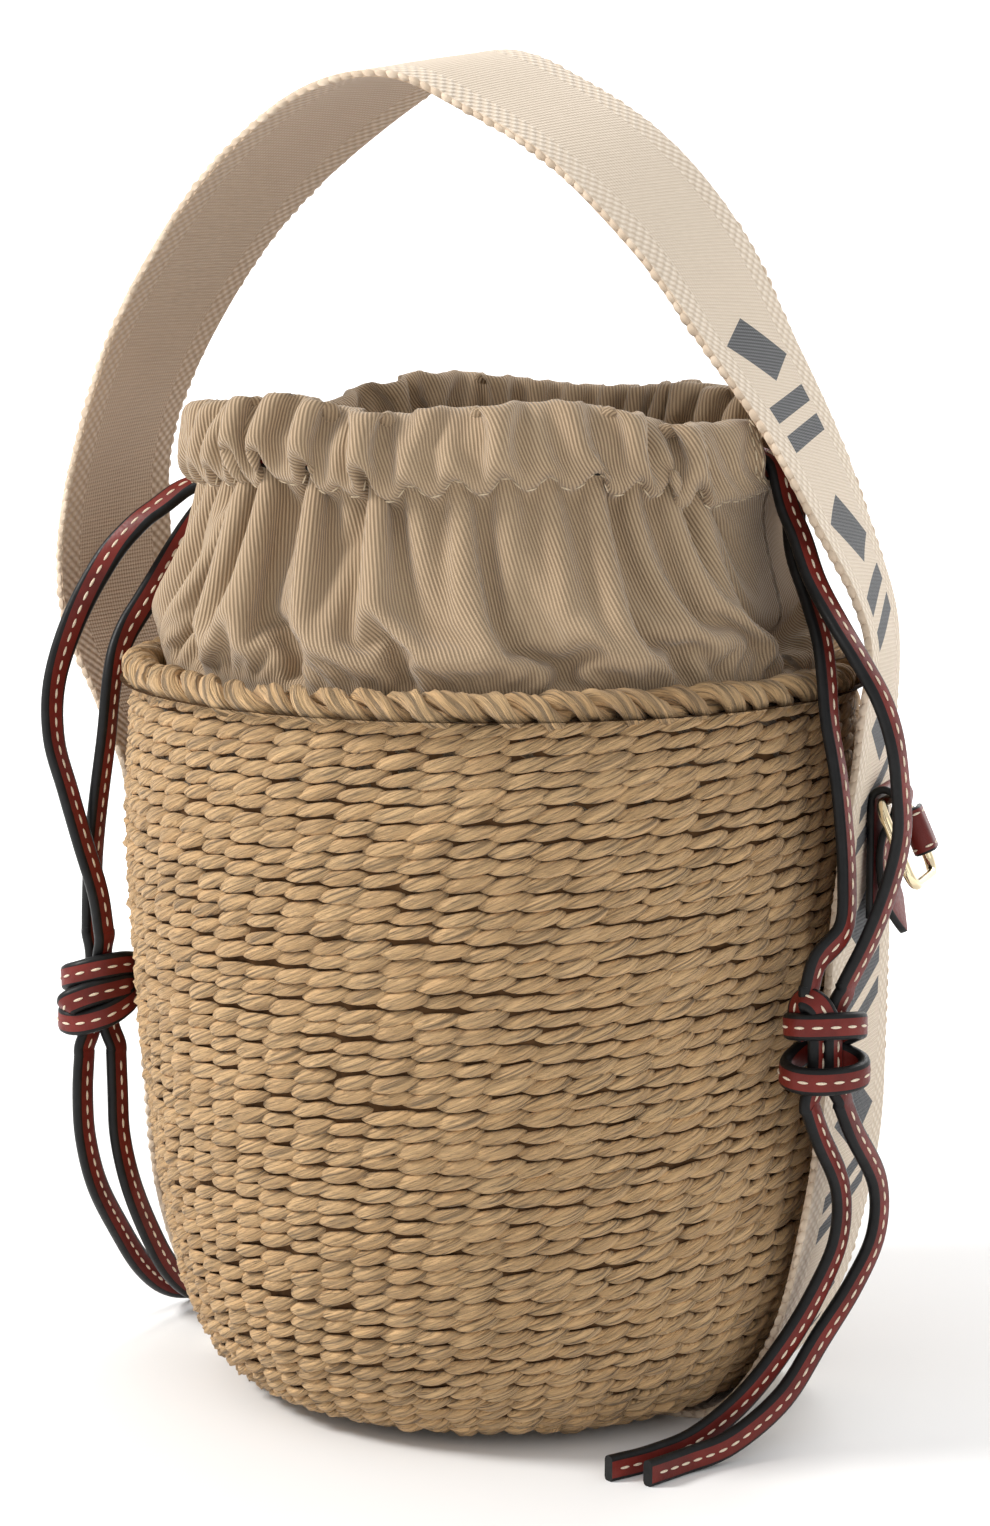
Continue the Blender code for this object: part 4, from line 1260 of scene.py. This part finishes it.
HANDLE_STATIONS = [
    (-0.1095, -0.1060, 0.1755, 0.1755), (-0.1135, -0.1090, 0.1840, 0.1840),
    (-0.1225, -0.1155, 0.2030, 0.2040), (-0.1240, -0.1185, 0.2220, 0.2240),
    (-0.1195, -0.1175, 0.2460, 0.2500), (-0.1090, -0.1065, 0.2770, 0.2770),
    (-0.0940, -0.0880, 0.3030, 0.3040), (-0.0740, -0.0650, 0.3280, 0.3270),
    (-0.0480, -0.0380, 0.3465, 0.3460), (-0.0220, -0.0120, 0.3515, 0.3585),
    (0.0010, 0.0140, 0.3420, 0.3495), (0.0250, 0.0380, 0.3280, 0.3330),
    (0.0480, 0.0590, 0.3070, 0.3090), (0.0660, 0.0740, 0.2840, 0.2800),
    (0.0850, 0.0880, 0.2600, 0.2520), (0.0985, 0.0965, 0.2370, 0.2300),
    (0.1090, 0.1015, 0.2190, 0.2140), (0.1130, 0.1030, 0.2050, 0.2010),
    (0.1110, 0.1028, 0.1880, 0.1860), (0.1095, 0.1024, 0.1755, 0.1755),
]
CREST_STATION = 9  # the handle's highest one
PICOT_PITCH = 0.0034


def webbing_edges():
    """The whole webbing's front and back edge lines, round the bag and over it, and its crest's place."""
    left = [(-a, -b, c, d) for a, b, c, d in LEFT_SIDE_STATIONS + FOOT_STATIONS][::-1]
    right = RIGHT_SIDE_STATIONS + FOOT_STATIONS
    rows = catmull_rom(left + HANDLE_STATIONS + right, 6)
    crest = (len(left) + CREST_STATION) * 6
    near = np.stack([rows[:, 0], np.full(len(rows), WEB_NEAR), np.maximum(rows[:, 2], 0.0009)], axis=1)
    far = np.stack([rows[:, 1], np.full(len(rows), WEB_FAR), np.maximum(rows[:, 3], 0.0009)], axis=1)
    return near, far, crest


def make_webbing(look):
    """The band up one side, over as the handle and down the other, with its looped edges."""
    near, far, crest = webbing_edges()
    middle = (near + far) / 2
    along = lengths_along(middle)
    crest_at = along[crest]
    at = np.linspace(0, along[-1], round(along[-1] / 0.0022) + 1)
    near, far = (np.stack([np.interp(at, along, e[:, k]) for k in range(3)], axis=1) for e in (near, far))
    rng = np.random.default_rng(SEED + 6)
    middle, half = (near + far) / 2, (far - near) / 2
    way = unit(np.gradient(middle, axis=0))
    out = unit(np.cross(way, half))
    place = at - crest_at
    rows, columns = len(at), WEB_COLUMNS
    v = np.linspace(-1, 1, columns)
    crown = 0.0006 * (1 - v ** 2)[None]
    ripple = 0.00025 * np.sin(place[:, None] / 0.011 + 2.4 * v[None]) * (np.abs(v) ** 3)[None]
    low = middle[:, 2] < 0.02
    lifted = np.where(low[:, None], 0.0, crown + ripple)
    shape = Shape()
    layers = []
    thin = WEB_THICKNESS / 2 * np.where(np.abs(v) > 0.68, 1.12, 1.0)
    for side in (1, -1):
        layer = middle[:, None] + half[:, None] * v[None, :, None]
        layer = layer + out[:, None] * (lifted + side * thin[None])[:, :, None]
        layers.append(layer)
    ring = np.concatenate([layers[0], layers[1][:, ::-1]], axis=1)
    n = 2 * columns
    across = np.concatenate([v, v[::-1]]) * WEB_HALF
    # 1 on the outer face; the inner face, at 0, gets painted shade
    outer = np.concatenate([np.ones(columns), np.zeros(columns)])
    field = np.stack([np.broadcast_to(place[:, None], (rows, n)), np.broadcast_to(across[None], (rows, n)),
                      np.broadcast_to(outer[None], (rows, n))], axis=-1)
    shape.add(ring, tube_faces(rows, n), 0, field)
    for edge, side in ((near, -1), (far, 1)):
        add_picots(shape, edge, half, out, place, side, rng)
    band = shape.piece("webbing_band", [look], 60)
    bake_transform(band)
    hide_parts("handle_webbing", "body_webbing")
    make_underside(look)


def add_picots(shape, edge, half, out, place, side, rng):
    """The small loops of yarn along one edge, each a slanting pod with its twist."""
    along = lengths_along(edge)
    way = unit(np.gradient(edge, axis=0))
    outward = unit(half) * side
    count = int(along[-1] / PICOT_PITCH)
    steps, sides = 6, 6
    for i in range(count):
        at = (i + 0.5) * PICOT_PITCH
        spot, w, o, u, p = (
            np.array([np.interp(at, along, line[:, k]) for k in range(line.shape[1])])
            for line in (edge, way, outward, out, place[:, None])
        )
        big = rng.uniform(0.85, 1.15)
        points = []
        for k in range(steps):
            s = k / (steps - 1)
            fat = 0.15 + 0.85 * math.sin(math.pi * s) ** 0.7
            centre = (spot + w * (s - 0.5) * PICOT_PITCH * 1.25
                      + o * (0.00045 * math.sin(math.pi * s) * big - 0.0003) + u * 0.0004 * (0.5 - s))
            for j in range(sides):
                a = math.tau * j / sides
                points.append(centre + (o * math.cos(a) * 0.00085 + u * math.sin(a) * 0.00105) * fat * big)
        # 0.6 gives the loops part of the inner face's painted shade
        field = [(float(p[0]) + 0.0003 * (j % 3), side * 0.0249, 0.6) for j in range(sides)] * steps
        shape.add(points, tube_faces(steps, sides), 0, field)


def make_underside(look):
    """The webbing's stretch under the base, which the bag stands on."""
    rows, columns = 24, WEB_COLUMNS
    x = np.linspace(-0.0600, 0.0600, rows)
    v = np.linspace(-1, 1, columns)
    layers = []
    for z in (0.0, WEB_THICKNESS):
        layers.append(np.stack(np.broadcast_arrays(
            x[:, None], (WEB_NEAR + WEB_FAR) / 2 + WEB_HALF * v[None], z), axis=-1))
    ring = np.concatenate([layers[0], layers[1][:, ::-1]], axis=1)
    n = 2 * columns
    across = np.concatenate([v, v[::-1]]) * WEB_HALF
    # 0 colours it all as the inner face, with its painted shade and no print
    field = np.stack(np.broadcast_arrays(x[:, None] + 0.5, across[None], 0.0), axis=-1)
    shape = Shape()
    shape.add(ring, tube_faces(rows, n), 0, field)
    under = shape.piece("webbing_under_base", [look], 60)
    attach(under, "basket")


# ---------------------------------------------------------------- the leather tab and its ring

TAB_ORIGIN = (0.1059, 0.0050, 0.1500)
TAB_YAW = math.radians(5.0)
TAB_WIDTH = 0.0165
TAB_THICKNESS = 0.0020
FOLD_OUT, FOLD_UP, FOLD_RADIUS = 0.0046, 0.0155, 0.0033
RING_WIRE = 0.0014
RING_INNER = (0.0206, 0.0200)
RING_CORNER = 0.0045
RING_LEAN = math.radians(24.0)


def tab_place():
    return Matrix.Translation(TAB_ORIGIN) @ Matrix.Rotation(TAB_YAW, 4, "Z")


def ring_place():
    return tab_place() @ Matrix.Translation((FOLD_OUT, 0, FOLD_UP)) @ Matrix.Rotation(-RING_LEAN, 4, "Y")


def placed(matrix, points):
    m = np.array(matrix)
    return np.asarray(points) @ m[:3, :3].T + m[:3, 3]


def tab_line():
    """The folded strip's middle line, outward and up, from its back end round to its point."""
    back = [(0.0013, -0.0150), (0.0013, -0.0050), (0.0013, 0.0050)]
    fold = []
    for degrees in range(180, -1, -20):
        a = math.radians(degrees)
        fold.append((FOLD_OUT + FOLD_RADIUS * math.cos(a), FOLD_UP + FOLD_RADIUS * math.sin(a)))
    front = [(0.0070, 0.0115), (0.0050, 0.0080), (0.0040, 0.0040), (0.0039, -0.0020), (0.0048, -0.0080),
             (0.0060, -0.0120), (0.0074, -0.0160), (0.0088, -0.0195)]
    return catmull_rom(back + fold + front, 4)


def make_tab(leather, paint, thread):
    """The strip that folds over the ring: black painted edges, and rows of stitches on its front."""
    line = tab_line()
    along = lengths_along(line)
    way = unit(np.gradient(line, axis=0))
    out2 = np.stack([-way[:, 1], way[:, 0]], axis=1)
    flat = np.stack([line[:, 0], np.zeros(len(line)), line[:, 1]], axis=1)
    out = np.stack([out2[:, 0], np.zeros(len(line)), out2[:, 1]], axis=1)
    point = 0.0085
    left = along[-1] - along
    width = np.where(left < point, TAB_WIDTH * (0.10 + 0.90 * (left / point) ** 0.85), TAB_WIDTH)
    section = strip_section(1.0, TAB_THICKNESS)
    n, half = len(section), len(section) // 2
    rows = []
    for spot, o, w in zip(flat, out, width, strict=True):
        scale = w - 2 * TAB_THICKNESS * EDGE_SHARE
        for x, z in section:
            edge = x - math.copysign(0.5 - TAB_THICKNESS * EDGE_SHARE, x)
            rows.append(spot + np.array([0, 1, 0]) * (math.copysign(scale / 2, x) + edge) + o * z)
    faces, kinds = [], []
    for i in range(len(line) - 1):
        for j in range(n):
            k = (j + 1) % n
            faces.append((i * n + j, i * n + k, (i + 1) * n + k, (i + 1) * n + j))
            kinds.append(GRAIN if j in (half - 1, n - 1) else EDGE)
    faces.append(tuple(range(n))[::-1])
    faces.append(tuple((len(line) - 1) * n + j for j in range(n)))
    kinds += [EDGE] * 2
    place = tab_place()
    shape = Shape()
    shape.add(placed(place, rows), faces, kinds)
    lift = TAB_THICKNESS / 2
    turn = np.array(place)[:3, :3]
    start = int(np.argmin(np.abs(left - 0.034)))
    for side in (-1, 1):
        inset = np.array([0, side * (TAB_WIDTH / 2 - 0.0022), 0])
        run = placed(place, flat[start:-9] + inset)
        stitch_row(shape, run, out[start:-9] @ turn.T, *TAB_STITCH, THREAD, lift)
    for height_left in (0.0265, 0.0115):
        i = int(np.argmin(np.abs(left - height_left)))
        y = np.linspace(-TAB_WIDTH / 2 + 0.0022, TAB_WIDTH / 2 - 0.0022, 9)
        run = np.stack([np.full(9, flat[i, 0]), y, np.full(9, flat[i, 2])], axis=1)
        up = np.broadcast_to(out[i] @ turn.T, (9, 3))
        stitch_row(shape, placed(place, run), up, *TAB_CROSS_STITCH, THREAD, lift, margin=0.0005)
    tab = shape.piece("tab_leather", [leather, paint, thread], 50)
    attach(tab, "basket")
    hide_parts("tab_strip")


def ring_line(per_corner=10):
    """The wire's centre line: a rectangle with round corners, hung from the middle of its top side."""
    width, height = RING_INNER[0] + 2 * RING_WIRE, RING_INNER[1] + 2 * RING_WIRE
    c = RING_CORNER
    corners = [(width / 2 - c, -c, 0), (-width / 2 + c, -c, 90), (-width / 2 + c, -height + c, 180),
               (width / 2 - c, -height + c, 270)]
    line = []
    for y, z, start in corners:
        for k in range(per_corner + 1):
            a = math.radians(start + 90 * k / per_corner)
            line.append((0.0, y + c * math.cos(a), z + c * math.sin(a)))
    return np.array(line)


def make_ring(gold):
    """The ring's round wire."""
    line = ring_line()
    before, after = np.roll(line, 1, axis=0), np.roll(line, -1, axis=0)
    way = unit(after - before)
    side = np.array([1.0, 0.0, 0.0])
    out = np.cross(way, side)
    sides = 18
    a = np.arange(sides) * math.tau / sides
    points = (line[:, None] + side * (RING_WIRE * np.sin(a))[None, :, None]
              + out[:, None] * (RING_WIRE * np.cos(a))[None, :, None])
    shape = Shape()
    shape.add(placed(ring_place(), points.reshape(-1, 3)), grid_faces(len(line), sides, True, True))
    ring = shape.piece("ring_wire", [gold])
    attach(ring, "ring")
    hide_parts("ring")


def make_wrap(leather, paint, thread):
    """The leather sleeve round the ring's back bar: two layers stitched together past the bar."""
    bar = RING_INNER[0] / 2 + RING_WIRE
    middle = -(RING_INNER[1] + 2 * RING_WIRE) * 0.49
    height, thick, reach = 0.0125, 0.0016, 0.0085
    bend = 0.0023  # the middle of the leather, from the bar's middle
    line = [(bend * 0.30, bar + reach)]
    line += [(bend * 0.62, bar + 0.0048), (bend * 0.92, bar + 0.0016)]
    for degrees in range(0, 181, 20):
        a = math.radians(degrees)
        line.append((bend * math.cos(a), bar - bend * math.sin(a)))
    line += [(-bend * 0.92, bar + 0.0016), (-bend * 0.62, bar + 0.0048), (-bend * 0.30 - 0.0006, bar + reach)]
    line = catmull_rom(line, 3)
    path = np.stack([line[:, 0], line[:, 1], np.full(len(line), middle)], axis=1)
    way = unit(np.gradient(path, axis=0))
    out = np.cross(way, UP)
    out *= np.sign((out * (path - np.array([0, bar + 0.002, middle]))).sum(1))[:, None]
    place = ring_place()
    turn = np.array(place)[:3, :3]
    shape = Shape()
    spots = placed(place, path)
    swept_strip(shape, spots, out @ turn.T, height, thick)
    up = UP @ turn.T
    for offset in (-1, 1):
        run = spots + up * offset * (height / 2 - 0.0018)
        stitch_row(shape, run, out @ turn.T, *TAB_STITCH, THREAD, thick / 2)
    wrap = shape.piece("ring_sleeve", [leather, paint, thread], 50)
    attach(wrap, "ring")
    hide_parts("ring_wrap")


# ---------------------------------------------------------------- everything


def make_bag():
    leather = leather_look("leather", (0.100, 0.0095, 0.0065), (0.175, 0.0175, 0.0115), 0.46)
    paint = edge_paint_look()
    cream = thread_look("cream_thread", (0.78, 0.66, 0.50))
    khaki_thread = thread_look("khaki_thread", (0.62, 0.50, 0.34))
    raffia = raffia_look()
    # painted shade: a dark backing that stands for the shade in the weave's gaps
    painted_shade_backing = painted_shade_look("raffia_backing_painted_shade", (0.075, 0.038, 0.016))
    make_laces(leather, paint, cream)
    make_wall(raffia, painted_shade_backing)
    make_base(raffia, painted_shade_backing)
    make_rim(raffia)
    make_lining(lining_look())
    make_pouch(twill_look(), khaki_thread)
    make_webbing(webbing_look())
    make_tab(leather, paint, cream)
    make_ring(gold_look())
    make_wrap(leather, paint, cream)


make_camera()
make_light()
make_bag()
make_floor()
